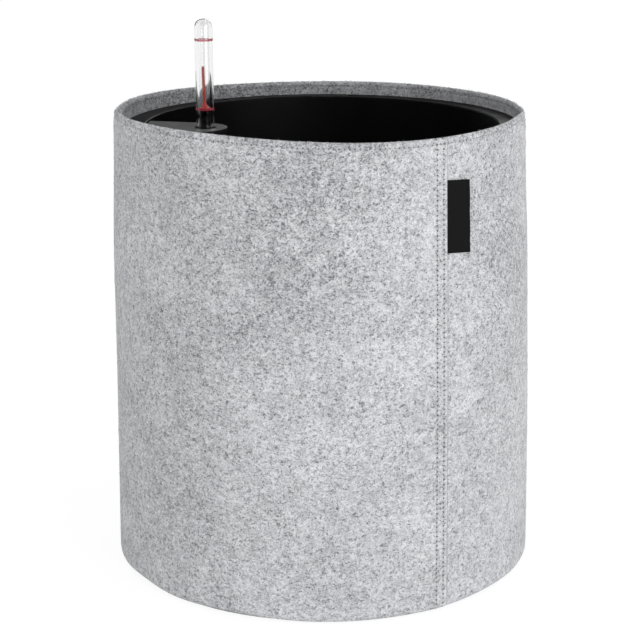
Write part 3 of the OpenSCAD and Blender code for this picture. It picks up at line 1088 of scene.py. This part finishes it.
@dataclass
class FeltCover:
    """The sewn felt cover: wall with its lapped seam, facing, base, tag, stitches and loose fibres."""

    radius: float = 157 * MM
    height: float = 350 * MM
    felt: float = 3 * MM
    layer_gap: float = 0.05 * MM
    flare: float = 6 * MM
    bulge: float = 0.5 * MM
    pinch: float = 1.5 * MM
    pinch_zone: Pair = (230 * MM, 95 * MM)
    lean: float = 1.65 * MM
    lean_power: float = 1.4
    ripple: float = 0.28 * MM
    ripple_fade: float = 1.02
    ripples: tuple[Wave, ...] = (Wave(3, 1.0, 0.6, 9.0), Wave(5, 0.7, 2.1, -14.0), Wave(8, 0.5, 0.0, 23.0))
    foot: float = 5 * MM
    foot_in: float = 158 * MM
    nose: float = 3.1 * MM
    nose_end: float = 84.0
    nose_steps: int = 9
    nose_drop: float = 0.3 * MM
    hem: float = 4.1 * MM
    hem_pull: float = 1.1 * MM
    facing_low: float = 320 * MM
    facing_in: float = 150.8 * MM
    facing_steps: int = 300
    seam: float = math.radians(-56.5)
    lap: float = 1.35 * MM
    lap_span: float = 25 * MM
    lap_round: Pair = (0.7 * MM, 0.45 * MM)
    seam_rows: Pair = (-2.9 * MM, -8.4 * MM)
    seam_pull: float = 1.0 * MM
    pitch: float = 3.55 * MM
    dimple: float = 0.42 * MM
    groove: float = 0.12 * MM
    groove_width: float = 0.9 * MM
    flange_gap: float = 0.55 * MM
    base_radius: float = 157.7 * MM
    base_row: float = 155.6 * MM
    tag_width: float = 20.2 * MM
    tag_tuck: float = 1.2 * MM
    tag_thick: float = 0.7 * MM
    tag_dip: float = 1.8 * MM
    tag_lift: float = 1.4 * MM
    tag_up: float = 0.85 * MM
    tag_off: float = 0.12 * MM
    tag_thin: float = 0.45
    tag_edge: Pair = (0.5 * MM, 0.6 * MM)
    tag_ripple: Wave = Wave(0, 0.12 * MM, 1.0, 310.0)
    rim_rise: float = 0.88 * MM
    rim_waves: tuple[Wave, ...] = (
        Wave(1, 1.36 * MM, math.radians(-205.0)),
        Wave(2, 1.09 * MM, math.radians(-39.0)),
        Wave(3, 0.57 * MM, math.radians(36.0)),
        Wave(4, 0.48 * MM, math.radians(100.0)),
    )
    wave_zone: Pair = (120 * MM, 220 * MM)
    rim_spots: tuple[Spot, ...] = (
        Spot(3.0, 11.0, -1.3 * MM),
        Spot(-19.0, 8.0, 0.9 * MM),
        Spot(178.0, 10.0, -0.9 * MM),
    )
    rim_zone: Pair = (260 * MM, 80 * MM)
    foot_spots: tuple[Spot, ...] = (
        Spot(212.0, 10.0, 2.4 * MM),
        Spot(245.0, 16.0, 1.7 * MM),
        Spot(320.0, 11.0, 0.9 * MM),
    )
    foot_zone: Pair = (0.0, 70 * MM)
    tuck: float = 1.1 * MM
    tuck_power: int = 8
    tuck_zone: Pair = (340 * MM, 9 * MM)

    def __post_init__(self) -> None:
        """Works out the lines that several pieces share."""
        self.half = np.pi * self.radius
        self.shoulder = self.height - self.nose
        self.hem_line = self.height - self.hem
        self.foot_middle = self.radius + self.flare - self.foot

    def bearing(self, u: Any) -> Any:
        """Gives the bearing in radians at a distance round the wall from the seam's cut edge."""
        return self.seam + u / self.radius

    def swell(self, u: Any, z: Any) -> Any:
        """Gives how far the soft wall stands off a plain cylinder as wide as the rim.

        Args:
            u: distance round the wall from the seam's cut edge.
            z: height in metres.

        Returns:
            Distance outwards in metres.
        """
        turn = self.bearing(u)
        t = np.clip(z / self.height, 0.0, 1.0)
        out = self.flare * (1.0 - t) + self.bulge * 4.0 * t * (1.0 - t)
        out = out - self.pinch * ease(ramp(z, *self.pinch_zone)) * np.cos(turn) ** 2
        out = out - self.lean * t**self.lean_power * np.cos(turn)
        wave = sum(w.size * np.sin(w.count * turn + w.slant * z + w.phase) for w in self.ripples)
        return out + self.ripple * wave * np.sin(np.pi * np.clip(t * self.ripple_fade, 0.0, 1.0))

    def raised(self, u: Any, z: Any) -> Any:
        """Gives the true height of a point of the soft wall, whose rim and foot rise and dip round the pot.

        Args:
            u: distance round the wall from the seam's cut edge.
            z: height on the flat felt.

        Returns:
            Height in metres.
        """
        turn = self.bearing(u)
        wave = self.rim_rise + sum(w.size * np.cos(w.count * turn + w.phase) for w in self.rim_waves)
        rim = sum(spot.height(turn) for spot in self.rim_spots) * ramp(z, *self.rim_zone) ** 2
        foot = sum(spot.height(turn) for spot in self.foot_spots) * (1.0 - ramp(z, *self.foot_zone)) ** 2
        return z + wave * ease(ramp(z, *self.wave_zone)) + rim + foot

    def stood(self, r: Any, u: Any, z: Any) -> Array:
        """Gives points of the soft wall.

        Args:
            r: radius of each point.
            u: distance round the wall from the seam's cut edge.
            z: height on the flat felt.

        Returns:
            The points, with their three parts along the last axis.
        """
        turn = self.bearing(u)
        return np.stack([r * np.cos(turn), r * np.sin(turn), self.raised(u, z)], -1)

    def tucked(self, u: Any, z: Any) -> Any:
        """Gives how far the rim's edge is drawn in at the two sides of the pot."""
        return self.tuck * np.cos(self.bearing(u)) ** self.tuck_power * ramp(z, *self.tuck_zone) ** 2

    def lap_height(self, u: Array) -> Array:
        """Gives how far the outer lap stands off the wall.

        Args:
            u: distance round the wall from the seam's cut edge.

        Returns:
            Height of the lap in metres.
        """
        reach, depth = self.lap_round
        rise = self.lap * np.sin(0.5 * np.pi * ramp(u, -self.lap_span, self.lap_span))
        return np.where(u <= 0.0, rise - depth * ramp(u, -reach, reach) ** 2, 0.0)

    def plain(self, u: Any, z: Any) -> Any:
        """Gives the radius of the wall's outer face without its lap and its stitched lines."""
        return self.radius + self.swell(u, z)

    def outer(self, u: Array, z: Any) -> Array:
        """Gives the radius of the wall's outer face.

        Args:
            u: distance round the wall from the seam's cut edge.
            z: height.

        Returns:
            Radius in metres.
        """
        pull = sum(bell(u, row, self.seam_pull) for row in self.seam_rows)
        drawn = self.dimple * np.maximum(pull, bell(z, self.hem_line, self.hem_pull))
        return self.plain(u, z) + self.lap_height(u) - drawn - self.tucked(u, z)

    def inner(self, u: Array, z: Any) -> Array:
        """Gives the radius of the facing's inner face, which the liner's flange holds out."""
        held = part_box("liner")[1].x + self.flange_gap
        return np.maximum(self.facing_in + self.swell(u, z), held) - self.tucked(u, z)

    def middle(self, u: Array, z: Any) -> Array:
        """Gives the radius at which the wall and the facing meet."""
        return 0.5 * (self.plain(u, z) - self.tucked(u, z) + self.inner(u, z))

    def columns(self) -> Array:
        """Gives the columns of the wall's mesh, which are close together at the seam.

        Returns:
            Distances round the wall from the seam's cut edge.
        """
        fine_from, fine_to, step = -13.0, -0.2, 0.45
        edge = np.array([fine_to, -0.08, -0.001, 0.001, 0.35, 1.0, 2.0]) * MM
        left = np.linspace(-self.half, fine_from * MM, 158, endpoint=False)
        right = np.linspace(edge[-1], self.half, 162)[1:-1]
        return np.concatenate([left, heights((fine_from, fine_to, step)), edge, right])

    def shell(self, name: str, rows: list[Row], u: Array, finish: FeltFinish) -> Thing:
        """Builds a closed band of felt from profile rows.

        Args:
            name: name of the piece.
            rows: radii and height of each row, up the outside and down the inside.
            u: columns, as distances round the wall.
            finish: its finish.

        Returns:
            The piece.
        """
        z = np.array([np.full_like(u, height) for _, height in rows])
        verts = self.stood(np.array([radii for radii, _ in rows]), u[None], z)
        ahead = np.append(u[1:], self.half)
        top = np.roll(z, -1, 0)
        uv = np.empty((*z.shape, 4, 2))
        uv[..., 0] = np.stack([u, ahead, ahead, u], -1)[None]
        uv[..., 1] = np.stack([z, np.roll(z, -1, 1), np.roll(top, -1, 1), top], -1)
        return piece(name, verts.reshape(-1, 3), loop_faces(*z.shape), finish.material(), uv.reshape(-1, 2))

    def foot_rows(self, u: Array) -> list[Row]:
        """Gives the profile rows of the rounded foot, from its inner edge outwards.

        Args:
            u: columns, as distances round the wall.

        Returns:
            The rows.
        """
        reach = self.outer(u, self.foot) - self.foot_middle
        rows: list[Row] = [(np.full_like(u, self.foot_in), 0.0)]
        for a in np.radians(np.linspace(-90.0, 0.0, 10)):
            rows.append((self.foot_middle + max(0.0, math.cos(a)) * reach, self.foot * (1.0 + math.sin(a))))
        return rows

    def face_rows(self, u: Array) -> list[Row]:
        """Gives the profile rows up the outer face, close together at the stitched hem."""
        levels = heights((7.5, 316.0, 3.3), (316.0, 340.0, 2.0), (340.0, 346.8, 0.5))
        return [(self.outer(u, z), z) for z in levels]

    def nose_rows(self, seam: Array, face: Array) -> list[Row]:
        """Gives the profile rows of the rounded rim, from a face to the seam with the other felt.

        Args:
            seam: radii of the seam.
            face: radii of the face.

        Returns:
            The rows.
        """
        turns = np.radians(np.linspace(0.0, self.nose_end, self.nose_steps))
        rows = [(seam + (face - seam) * math.cos(a), self.shoulder + self.nose * math.sin(a)) for a in turns]
        return rows + [(seam, self.height - self.nose_drop)]

    def inside_rows(self, u: Array) -> list[Row]:
        """Gives the profile rows down the wall's inner face and round the inside of the foot.

        Args:
            u: columns, as distances round the wall.

        Returns:
            The rows.
        """
        behind = np.array([345.0, 338.0, 330.0, 322.0, 318.5]) * MM
        below = np.array([314.0, 306.0, *np.arange(294.0, 20.0, -14.0), 12.0, 5.5]) * MM
        rows = [(self.middle(u, z) + self.layer_gap, z) for z in behind]
        rows += [(self.plain(u, z) - self.felt, z) for z in below]
        bend = self.foot - self.felt
        for a in np.radians(np.linspace(-18.0, -90.0, 5)):
            radius = self.foot_middle + bend * math.cos(a)
            rows.append((np.full_like(u, radius), self.foot + bend * math.sin(a)))
        return rows + [(np.full_like(u, self.foot_in), self.felt)]

    def build_wall(self) -> tuple[Thing, list[int]]:
        """Builds the wall, turned in at the foot and rounded over at the rim.

        Returns:
            The wall, and the numbers of rows up to the end of its foot, outer face, rim and inner face.
        """
        u = self.columns()
        seam = self.middle(u, self.shoulder) + self.layer_gap
        over = self.nose_rows(seam, self.outer(u, self.shoulder))
        groups = [self.foot_rows(u), self.face_rows(u), over, self.inside_rows(u)]
        rows = sum(groups, [])
        holes = tuple(StitchRow(RowAxis.UP, place, self.pitch, 0.9) for place in self.seam_rows)
        holes += (StitchRow(RowAxis.ROUND, self.hem_line, self.pitch, 0.6),)
        clouds = (
            Cloud((0.0, -0.157, 0.32), (0.08, 0.2, 0.14), 0.45),
            Cloud((0.135, -0.09, 0.27), (0.05, 0.1, 0.2), 0.3),
            Cloud((-0.06, -0.15, 0.27), (0.08, 0.2, 0.13), 0.1),
        )
        finish = FeltFinish("felt_outer", clouds=clouds, rows=holes, lapped=True)
        wall = self.shell("felt_wall_sewn", rows, u, finish)
        # Point masks of the painted highlight on the lap's edge and of the painted shadow just right of that
        # edge.
        spans = {"lap_edge_highlight": (-0.5 * MM, -0.0005 * MM), "lap_shade": (0.0005 * MM, 1.2 * MM)}
        for name, (first, last) in spans.items():
            share = np.tile((u > first) & (u < last), len(rows)).astype(np.float32)
            wall.data.attributes.new(name, "FLOAT", "POINT").data.foreach_set("value", share)
        return wall, np.cumsum([len(group) for group in groups]).tolist()

    def build_facing(self) -> Thing:
        """Builds the facing band inside the rim.

        Returns:
            The facing.
        """
        low, low_bend, low_gap = self.facing_low, 0.7 * MM, 0.8 * MM
        u = np.linspace(-self.half, self.half, self.facing_steps, endpoint=False)
        hidden = np.array([320.9, 328.0, 337.0, 344.0]) * MM
        rows = [(self.middle(u, z) - self.layer_gap, z) for z in hidden]
        seam = self.middle(u, self.shoulder) - self.layer_gap
        rows += reversed(self.nose_rows(seam, self.inner(u, self.shoulder)))
        for z in heights((346.6, 344.0, -0.4), (343.8, 321.0, -1.7)):
            rows.append((self.inner(u, z) + self.groove * bell(z, self.hem_line, self.groove_width), z))
        rows += [(self.inner(u, low) + low_bend, low), (self.middle(u, low) - low_gap, low)]
        finish = FeltFinish(
            "felt_inner",
            light=(0.51, 0.513, 0.527),
            dark=(0.055, 0.057, 0.063),
            pale=(0.55, 0.554, 0.566),
            # Stronger painted shade towards the left, as more dark fibres.
            left_shade_density=1.4,
            rows=(StitchRow(RowAxis.ROUND, self.hem_line, self.pitch, 0.12),),
        )
        return self.shell("felt_facing_sewn", rows, u, finish)

    def build_base(self) -> Thing:
        """Builds the base disc, with the channel of its stitches underneath.

        Returns:
            The base.
        """
        r, t, row = self.base_radius, self.felt, self.base_row
        channel, dents, edge = 0.55 * MM, 0.15 * MM, (0.4 * MM, 0.6 * MM)
        profile = [(0.0, 0.0)] + [(x * r, 0.0) for x in np.linspace(0.08, 0.94, 16)]
        profile += [(row - 1.6 * MM, 0.0), (row - 0.7 * MM, channel), (row + 0.7 * MM, channel)]
        profile += [(row + 1.5 * MM, 0.0), (r - 0.3 * MM, 0.1 * MM)]
        profile += quarter((r - edge[0], t - edge[1]), edge, 0.0, 4)
        profile += [(x * r, t - dents * math.sin(40.0 * x)) for x in np.linspace(0.97, 0.06, 18)] + [(0.0, t)]
        verts, faces = lathe(profile, (0.0, 0.0), 160)
        uv = np.array([verts[k][:2] for face in faces for k in face])
        finish = FeltFinish("felt_under", light=(0.6, 0.605, 0.62), dark=(0.14, 0.143, 0.15))
        return piece("felt_base_sewn", verts, faces, finish.material(), uv)

    def build_tag(self) -> Thing:
        """Builds the bare ribbon tag that is caught under the lap.

        Returns:
            The tag.
        """
        low, high = (corner.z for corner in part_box("seam_tag"))
        width, (side, end), lip = self.tag_width, self.tag_edge, 0.15 * MM
        us = [np.linspace(-self.tag_tuck, width - side, 22), width - np.array([0.3, 0.12, 0.0]) * MM]
        zs = [[low, low + lip], np.linspace(low + end, high - end, 44), [high - lip, high]]
        u, z = np.meshgrid(np.concatenate(us), np.concatenate(zs))
        share = ramp(u, 0.0, width)
        wave = self.tag_ripple.size * np.sin(z * self.tag_ripple.slant + self.tag_ripple.phase)
        curl = self.tag_lift * share**2 + wave * share
        worn_side = ramp(u, width - side, side) ** 2
        worn_end = (1.0 - ramp(np.minimum(z - low, high - z), 0.0, end)) ** 2
        half = self.tag_thick * (1.0 - self.tag_thin * np.maximum(worn_side, worn_end)) / 2
        centre = self.plain(u, z) + self.tag_off + 0.5 * self.tag_thick + curl
        verts = np.stack([self.stood(centre + half, u, z), self.stood(centre - half, u, z)])
        verts[..., 2] += self.tag_up - self.tag_dip * u / width
        grid = np.arange(u.size).reshape(u.shape)
        front = np.stack([grid[:-1, :-1], grid[:-1, 1:], grid[1:, 1:], grid[1:, :-1]], -1).reshape(-1, 4)
        ring = np.concatenate([grid[0], grid[1:, -1], grid[-1, -2::-1], grid[-2:0:-1, 0]])
        ahead = np.roll(ring, -1)
        rim = np.stack([ring, ring + u.size, ahead + u.size, ahead], -1)
        faces = np.concatenate([front, front[:, ::-1] + u.size, rim])
        flat = np.tile(np.stack([u, z], -1).reshape(-1, 2), (2, 1))
        uv = flat[faces.ravel()]
        return piece("seam_tag_ribbon", verts.reshape(-1, 3), faces, TagFinish().material(), uv)

    def build_stitches(self) -> dict[str, Thing]:
        """Sews the rows of the seam, the rim and the base.

        Returns:
            The stitched rows by name.
        """
        tree = stitch_tree()
        thread = ThreadFinish("sewing_thread").material()
        dim = ThreadFinish("facing_thread", (0.36, 0.363, 0.375)).material()
        sizes = {"Stitch Length": 2.4 * MM, "Thread Radius": 0.27 * MM, "Lift": 0.16 * MM, "Sink": 0.5 * MM}
        most = int(self.half / self.pitch)
        u = np.arange(-most, most + 1) * self.pitch
        level, under, foot = np.full_like(u, self.hem_line), np.full_like(u, 0.45 * MM), 2.5 * MM
        rise = np.arange(2, int((self.hem_line - foot) / self.pitch) + 1) * self.pitch
        seams = []
        for place in self.seam_rows:
            along = np.full_like(rise, place)
            seams.append(self.stood(self.outer(along, rise), along, rise))
        rim = [self.stood(self.outer(u, level), u, level)]
        inside = [self.stood(self.inner(u, level) + self.groove, u, level)]
        base = [self.stood(np.full_like(u, self.base_row), u, under)]
        down = {"Radial": 0.0, "Flat Side": (0.0, 0.0, -1.0), "Lift": 0.05 * MM}
        rows = {
            "seam_stitches": (path(seams, False), {"Radial": 1.0, "Seed": 5, "Thread": thread}),
            "rim_stitches": (path(rim, True), {"Radial": 1.0, "Seed": 7, "Thread": thread}),
            "rim_stitches_inside": (path(inside, True), {"Radial": -1.0, "Seed": 8, "Thread": dim}),
            "base_stitches": (path(base, True), {**down, "Seed": 9, "Thread": thread}),
        }
        return {name: grown(line, tree, {**sizes, **extra}, name) for name, (line, extra) in rows.items()}

    def build_fuzz(self, wall: Thing, name: str, first: int, last: int, values: dict[str, Any]) -> Thing:
        """Lays loose fibres on some rows of the wall.

        Args:
            wall: the finished wall.
            name: name of the piece.
            first: first profile row that has fibres.
            last: last profile row that has fibres.
            values: inputs of the fibres' tree by name.

        Returns:
            The fibres.
        """
        columns = len(self.columns())
        verts = np.empty(len(wall.data.vertices) * 3, np.float32)
        wall.data.vertices.foreach_get("co", verts)
        quads = loop_faces(last + 1, columns)[first * columns : last * columns]
        ground = link("fuzz_ground", bare_mesh("fuzz_ground", verts.reshape(-1, 3), [], quads))
        return grown(ground, fuzz_tree(), {**values, "Fibre": FuzzFinish(name).material()}, name)

    def build(self) -> None:
        """Makes all felt pieces and fixes them to the cover."""
        wall, (foot, rim, over, _) = self.build_wall()
        settle(wall, "cover", "felt", "felt_wall")
        facing = settle(self.build_facing(), "cover", "felt", "felt_facing")
        base = settle(self.build_base(), "cover", "felt", "felt_base")
        tag = settle(self.build_tag(), "cover", "tag", "seam_tag")
        stitches = {name: settle(row, "cover", "felt") for name, row in self.build_stitches().items()}
        lying = {"Density": 9000.0, "Length": 4.5 * MM, "Thickness": 0.055 * MM, "Stand": 0.3 * MM}
        standing = {"Density": 260000.0, "Length": 2.6 * MM, "Thickness": 0.1 * MM, "Stand": 0.45 * MM}
        lying |= {"Tilt": 0.05, "Seed": 11}
        standing |= {"Tilt": 0.45, "Seed": 12}
        fuzz = settle(self.build_fuzz(wall, "felt_fibres", foot, over - 4, lying), "cover", "felt")
        edge = settle(self.build_fuzz(wall, "rim_fibres", rim + 1, over - 2, standing), "cover", "felt")


@dataclass
class LevelIndicator:
    """The water level indicator: clear tube, red rings, needle and bob."""

    wall: float = 2.5 * MM
    edge: float = 0.35 * MM
    dome: float = 5.6 * MM
    roof: float = 1.1 * MM
    roof_flat: float = 0.9 * MM
    straight: float = 12 * MM
    neck: float = 6 * MM
    ring_gap: float = 0.03 * MM
    ring_round: float = 0.6
    needle_lean: float = 1.0 * MM
    pin: float = 1.1 * MM
    disc: float = 1.0 * MM
    disc_edge: float = 0.3 * MM
    cone: float = 6.5 * MM
    cone_power: float = 2.2
    brim: float = 3.3 * MM
    stem: float = 2.0 * MM
    bob_edge: float = 0.7 * MM
    waist: float = 5 * MM
    waist_half: float = 0.5 * MM
    waist_depth: float = 0.25 * MM
    columns: int = 64

    def __post_init__(self) -> None:
        """Finds the tube's axis."""
        low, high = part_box("indicator_tube")
        self.centre = ((low.x + high.x) / 2, (low.y + high.y) / 2)

    def size(self, node: str) -> tuple[float, float, float]:
        """Gives the radius of a node and the heights of its two ends."""
        low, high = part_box(node)
        return (high.x - low.x) / 2, low.z, high.z

    def build_tube(self) -> Thing:
        """Builds the clear tube with its domed top.

        Returns:
            The tube.
        """
        r, low, high = self.size("indicator_tube")
        inside, crown = r - self.wall, high - self.dome
        roof, e = crown - self.roof, self.edge
        profile = rounded(r, low, high, e, 3)[0]
        profile += [(r, z) for z in np.linspace(low + self.straight, crown - self.neck, 8)]
        profile += quarter((0.0, crown), (r, self.dome), 0.0, 14)
        profile += reversed(quarter((0.0, roof), (inside, self.dome - self.roof_flat), 0.0, 12))
        profile += [(inside, z) for z in np.linspace(roof - self.neck, low + self.straight, 8)]
        profile += [(inside, low + e), (inside + e, low)]
        verts, faces = lathe(profile, self.centre, self.columns)
        finish = ClearFinish("clear_tube", self.centre[0], r)
        return piece("indicator_tube_clear", verts, faces, finish.material())

    def build_ring(self, node: str, finish: PlasticFinish) -> Thing:
        """Builds one printed level ring, a thin band with soft edges.

        Args:
            node: node that it stands for.
            finish: its finish.

        Returns:
            The ring.
        """
        outside, low, high = self.size(node)
        inside = self.size("indicator_tube")[0] + self.ring_gap
        lower, upper = rounded(outside, low, high, (outside - inside) * self.ring_round, 3)
        profile = [(inside, low)] + lower + upper + [(inside, high)]
        verts, faces = lathe(profile, self.centre, self.columns)
        return piece(node + "_band", verts, faces, finish.material())

    def build_needle(self, finish: PlasticFinish) -> Thing:
        """Builds the needle: a disc, a drawn-in cone and a slim pin with a rounded tip.

        Args:
            finish: its finish.

        Returns:
            The needle.
        """
        r, low, high = self.size("needle")
        foot = self.size("needle_bob")[2]
        top, pin, tip = foot + self.disc, self.pin, (self.pin * 0.92, self.pin * 0.9)
        lower, upper = rounded(r, foot, top, self.disc_edge, 3)
        profile = [(0.0, low), (self.stem, low), (self.stem, foot)] + lower + upper
        for t in np.linspace(0.04, 1.0, 12):
            profile.append((pin + (self.brim - pin) * (1.0 - t) ** self.cone_power, top + self.cone * t))
        profile += [(pin, z) for z in np.linspace(top + self.cone + 1.5 * MM, high - 2.0 * MM, 5)]
        profile += quarter((0.0, high - tip[1]), tip, 0.0, 5)
        verts, faces = lathe(profile, self.centre, 40)
        verts[:, 0] -= self.needle_lean * np.sqrt(ramp(verts[:, 2], top, high - top))
        return piece("needle_turned", verts, faces, finish.material())

    def build_bob(self, finish: PlasticFinish) -> Thing:
        """Builds the black bob with rounded ends and two moulded waist lines.

        Args:
            finish: its finish.

        Returns:
            The bob.
        """
        r, low, high = self.size("needle_bob")
        lower, upper = rounded(r, low, high, self.bob_edge, 5)
        profile = [(0.0, low)] + lower
        for z in (low + self.waist, high - self.waist):
            profile += [(r, z - self.waist_half), (r - self.waist_depth, z), (r, z + self.waist_half)]
        profile += upper + [(0.0, high)]
        verts, faces = lathe(profile, self.centre, 48)
        return piece("needle_bob_turned", verts, faces, finish.material())

    def build(self) -> None:
        """Makes the indicator's pieces and dresses those that keep their solid shape."""
        slick = {"grain": 1200.0, "relief": 0.01 * MM}
        red = PlasticFinish("indicator_red", (0.5, 0.045, 0.035), 0.28, dust=0.05, specular=0.4, **slick)
        ink = PlasticFinish("ring_red", (0.62, 0.05, 0.09), 0.2, dust=0.03, clear=0.4, cover=0.55, **slick)
        black = PlasticFinish("bob_black", (0.002, 0.002, 0.002), 0.3, dust=0.02, specular=0.08, **slick)
        settle(self.build_tube(), "indicator", "clear", "indicator_tube")
        for node in ("max_ring", "min_ring"):
            settle(self.build_ring(node, ink), "indicator", "mark", node)
        settle(self.build_needle(red), "level_float", "mark", "needle")
        settle(self.build_bob(black), "level_float", "bob", "needle_bob")
        dress(black, "float_rod")
        dress(FoamFinish(), "float")
        dress(PlasticFinish("indicator_foot_black", (0.016, 0.016, 0.017)), "indicator_foot")


@dataclass
class PlantingLiner:
    """The moulded liner with its filler shaft, lid, separator, plug and carrying handles."""

    black: Colour = (0.0026, 0.0026, 0.0029)
    insert: Colour = (0.005, 0.005, 0.0055)
    lid: Colour = (0.1, 0.1, 0.102)
    rubber: Colour = (0.02, 0.02, 0.021)

    def build(self) -> None:
        """Dresses the liner's solid pieces."""
        handles = [side + "_handle" + end for end in ("", "_stops") for side in ("front", "rear")]
        insert = PlasticFinish("insert_black", self.insert, 0.5, specular=0.15)
        seal = PlasticFinish("seal_rubber", self.rubber, 0.75, grain=2600.0, scuff=0.05, specular=0.2)
        dress(PlasticFinish("liner_black", self.black, 0.48, specular=0.1, dust=0.05), "liner")
        dress(insert, "filler_shaft", "separator", "drain_plug")
        # The lid's upright sides carry a painted shade.
        dress(PlasticFinish("lid_black", self.lid, 0.42, specular=0.35, sides=0.08), "shaft_lid")
        dress(PlasticFinish("handle_black", self.insert, 0.4, specular=0.15), *handles)
        dress(seal, "drain_seal")


@dataclass(frozen=True)
class StripLamp:
    """An upright strip lamp that shows in a gloss: bearing and half width in degrees, and brightness."""

    bearing: float
    half: float
    bright: float


@dataclass(frozen=True)
class DiscLamp:
    """A round soft lamp: place and width in metres, and power in watts."""

    name: str
    place: Place
    width: float
    power: float


@dataclass
class Stage:
    """Floor, light and camera."""

    distance: float = 1.34408
    eye: float = 0.55354
    focal_px: float = 1778.3
    pitch: float = math.radians(15.3983)
    yaw_px: float = 2.43
    roll: float = math.radians(-0.229)
    picture: int = 640
    sensor: float = 36.0
    ambient: float = 0.772
    room: float = 0.07
    strip_edge: float = 2.0
    strips: tuple[StripLamp, ...] = (
        StripLamp(-142.0, 8.0, 1.6),
        StripLamp(-54.0, 8.0, 1.0),
        StripLamp(47.0, 8.0, 2.4),
        StripLamp(168.0, 7.0, 3.4),
    )
    lamps: tuple[DiscLamp, ...] = (
        DiscLamp("key", (1.4, -2.15, 0.75), 1.8, 22.0),
        DiscLamp("top", (0.2, -0.3, 2.6), 1.6, 3.0),
    )
    aim: Place = (0.0, 0.0, 0.2)
    floor_drop: float = -0.2 * MM
    floor_tones: tuple[Colour, Colour] = ((0.9, 0.9, 0.9), (0.94, 0.94, 0.94))
    floor_glow: float = 1.05
    floor_share: float = 0.86

    def white_rays(self, g: Graph) -> Output:
        """Gives 1 for the rays that see the white surroundings: from the camera or through a clear piece."""
        ray = g.add("ShaderNodeLightPath").outputs
        return g.math("MAXIMUM", ray["Is Camera Ray"], ray["Is Transmission Ray"])

    def reflected(self, g: Graph) -> Output:
        """Builds what a gloss mirrors: a dim room with upright strip lamps round the pot.

        Args:
            g: graph of the world.

        Returns:
            The brightness.
        """
        east, north, _ = g.split(g.place("Generated"))
        squares = [g.times(way, way) for way in (east, north)]
        level = g.math("SQRT", g.plus(*squares))
        bearing = g.math("ARCTAN2", east, g.times(north, -1.0))
        lamps: Any = 0.0
        for strip in self.strips:
            away = g.math("ABSOLUTE", g.minus(bearing, math.radians(strip.bearing)))
            far, near = (math.radians(strip.half + edge) for edge in (self.strip_edge, -self.strip_edge))
            lamps = g.plus(lamps, g.smooth(away, far, near, 0.0, strip.bright))
        return g.plus(self.room, g.times(lamps, g.smooth(level, 0.75, 0.85)))

    def build_world(self) -> None:
        """Builds the even surroundings: white to the eye, softer as a light and dim in a gloss."""
        world = bpy.data.worlds.new("studio")
        bpy.context.scene.world = world
        world.use_nodes = True
        world.node_tree.nodes.clear()
        g = Graph(world.node_tree)
        glossy = g.add("ShaderNodeLightPath").outputs["Is Glossy Ray"]
        inputs = {"Factor_Float": glossy, "A_Float": self.ambient, "B_Float": self.reflected(g)}
        soft, white = (
            g.one("ShaderNodeBackground", {"Color": WHITE, "Strength": strength})
            for strength in (g.one("ShaderNodeMix", inputs), 1.0)
        )
        both = g.one("ShaderNodeMixShader", {0: self.white_rays(g), 1: soft, 2: white})
        g.add("ShaderNodeOutputWorld", {"Surface": both})

    def build_floor(self) -> None:
        """Builds the pale floor, which keeps a light shadow."""
        verts, faces = lathe([(r, self.floor_drop) for r in (6.0, 3.0, 1.0, 0.4, 0.0)], (0.0, 0.0), 96)
        material, g, shader = new_material("floor_pale")
        tone = g.blend(g.noise(g.place(), scale=3.0, detail=3.0), *self.floor_tones)
        g.fill(shader, {"Base Color": tone, "Roughness": 0.9, "Specular IOR Level": 0.0})
        glow = g.one("ShaderNodeEmission", {"Color": WHITE, "Strength": self.floor_glow})
        share = g.times(self.white_rays(g), self.floor_share)
        both = g.one("ShaderNodeMixShader", {0: share, 1: shader.outputs[0], 2: glow})
        output = next(n for n in material.node_tree.nodes if n.type == "OUTPUT_MATERIAL")
        g.feed(output.inputs["Surface"], both)
        floor = piece("floor", verts, faces, material)

    def build_light(self) -> None:
        """Hangs the soft lamps: a broad key from the right and a weak fill from above."""
        for lamp in self.lamps:
            light = bpy.data.lights.new(lamp.name, "AREA")
            light.shape = "DISK"
            light.size = lamp.width
            light.energy = lamp.power
            thing = link(lamp.name, light)
            thing.location = lamp.place
            thing.rotation_euler = (Vector(self.aim) - Vector(lamp.place)).to_track_quat("-Z", "Y").to_euler()

    def build_camera(self) -> None:
        """Sets the camera at the photograph's viewing angle."""
        lens = bpy.data.cameras.new("camera")
        lens.sensor_width = self.sensor
        lens.sensor_fit = "HORIZONTAL"
        lens.lens = self.focal_px * self.sensor / self.picture
        lens.clip_end = 100.0
        camera = link("camera", lens)
        yaw = math.atan(self.yaw_px / self.focal_px)
        turns = ((yaw, "Z"), (math.pi / 2 - self.pitch, "X"), (self.roll, "Z"))
        stand = Matrix.Translation((0.0, -self.distance, self.eye))
        for angle, axis in turns:
            stand = stand @ Matrix.Rotation(angle, 4, axis)
        camera.matrix_world = stand
        bpy.context.scene.camera = camera

    def build(self) -> None:
        """Sets up the stage and the plain view transform."""
        bpy.context.scene.view_settings.view_transform = "Standard"
        self.build_camera()
        self.build_world()
        self.build_floor()
        self.build_light()


def main() -> None:
    """Builds the stage and every sub-assembly."""
    logging.basicConfig(level=logging.INFO, format="%(message)s")
    for part in (Stage(), FeltCover(), PlantingLiner(), LevelIndicator()):
        part.build()
        LOG.info("%s done", type(part).__name__)


if __name__ == "__main__":
    main()
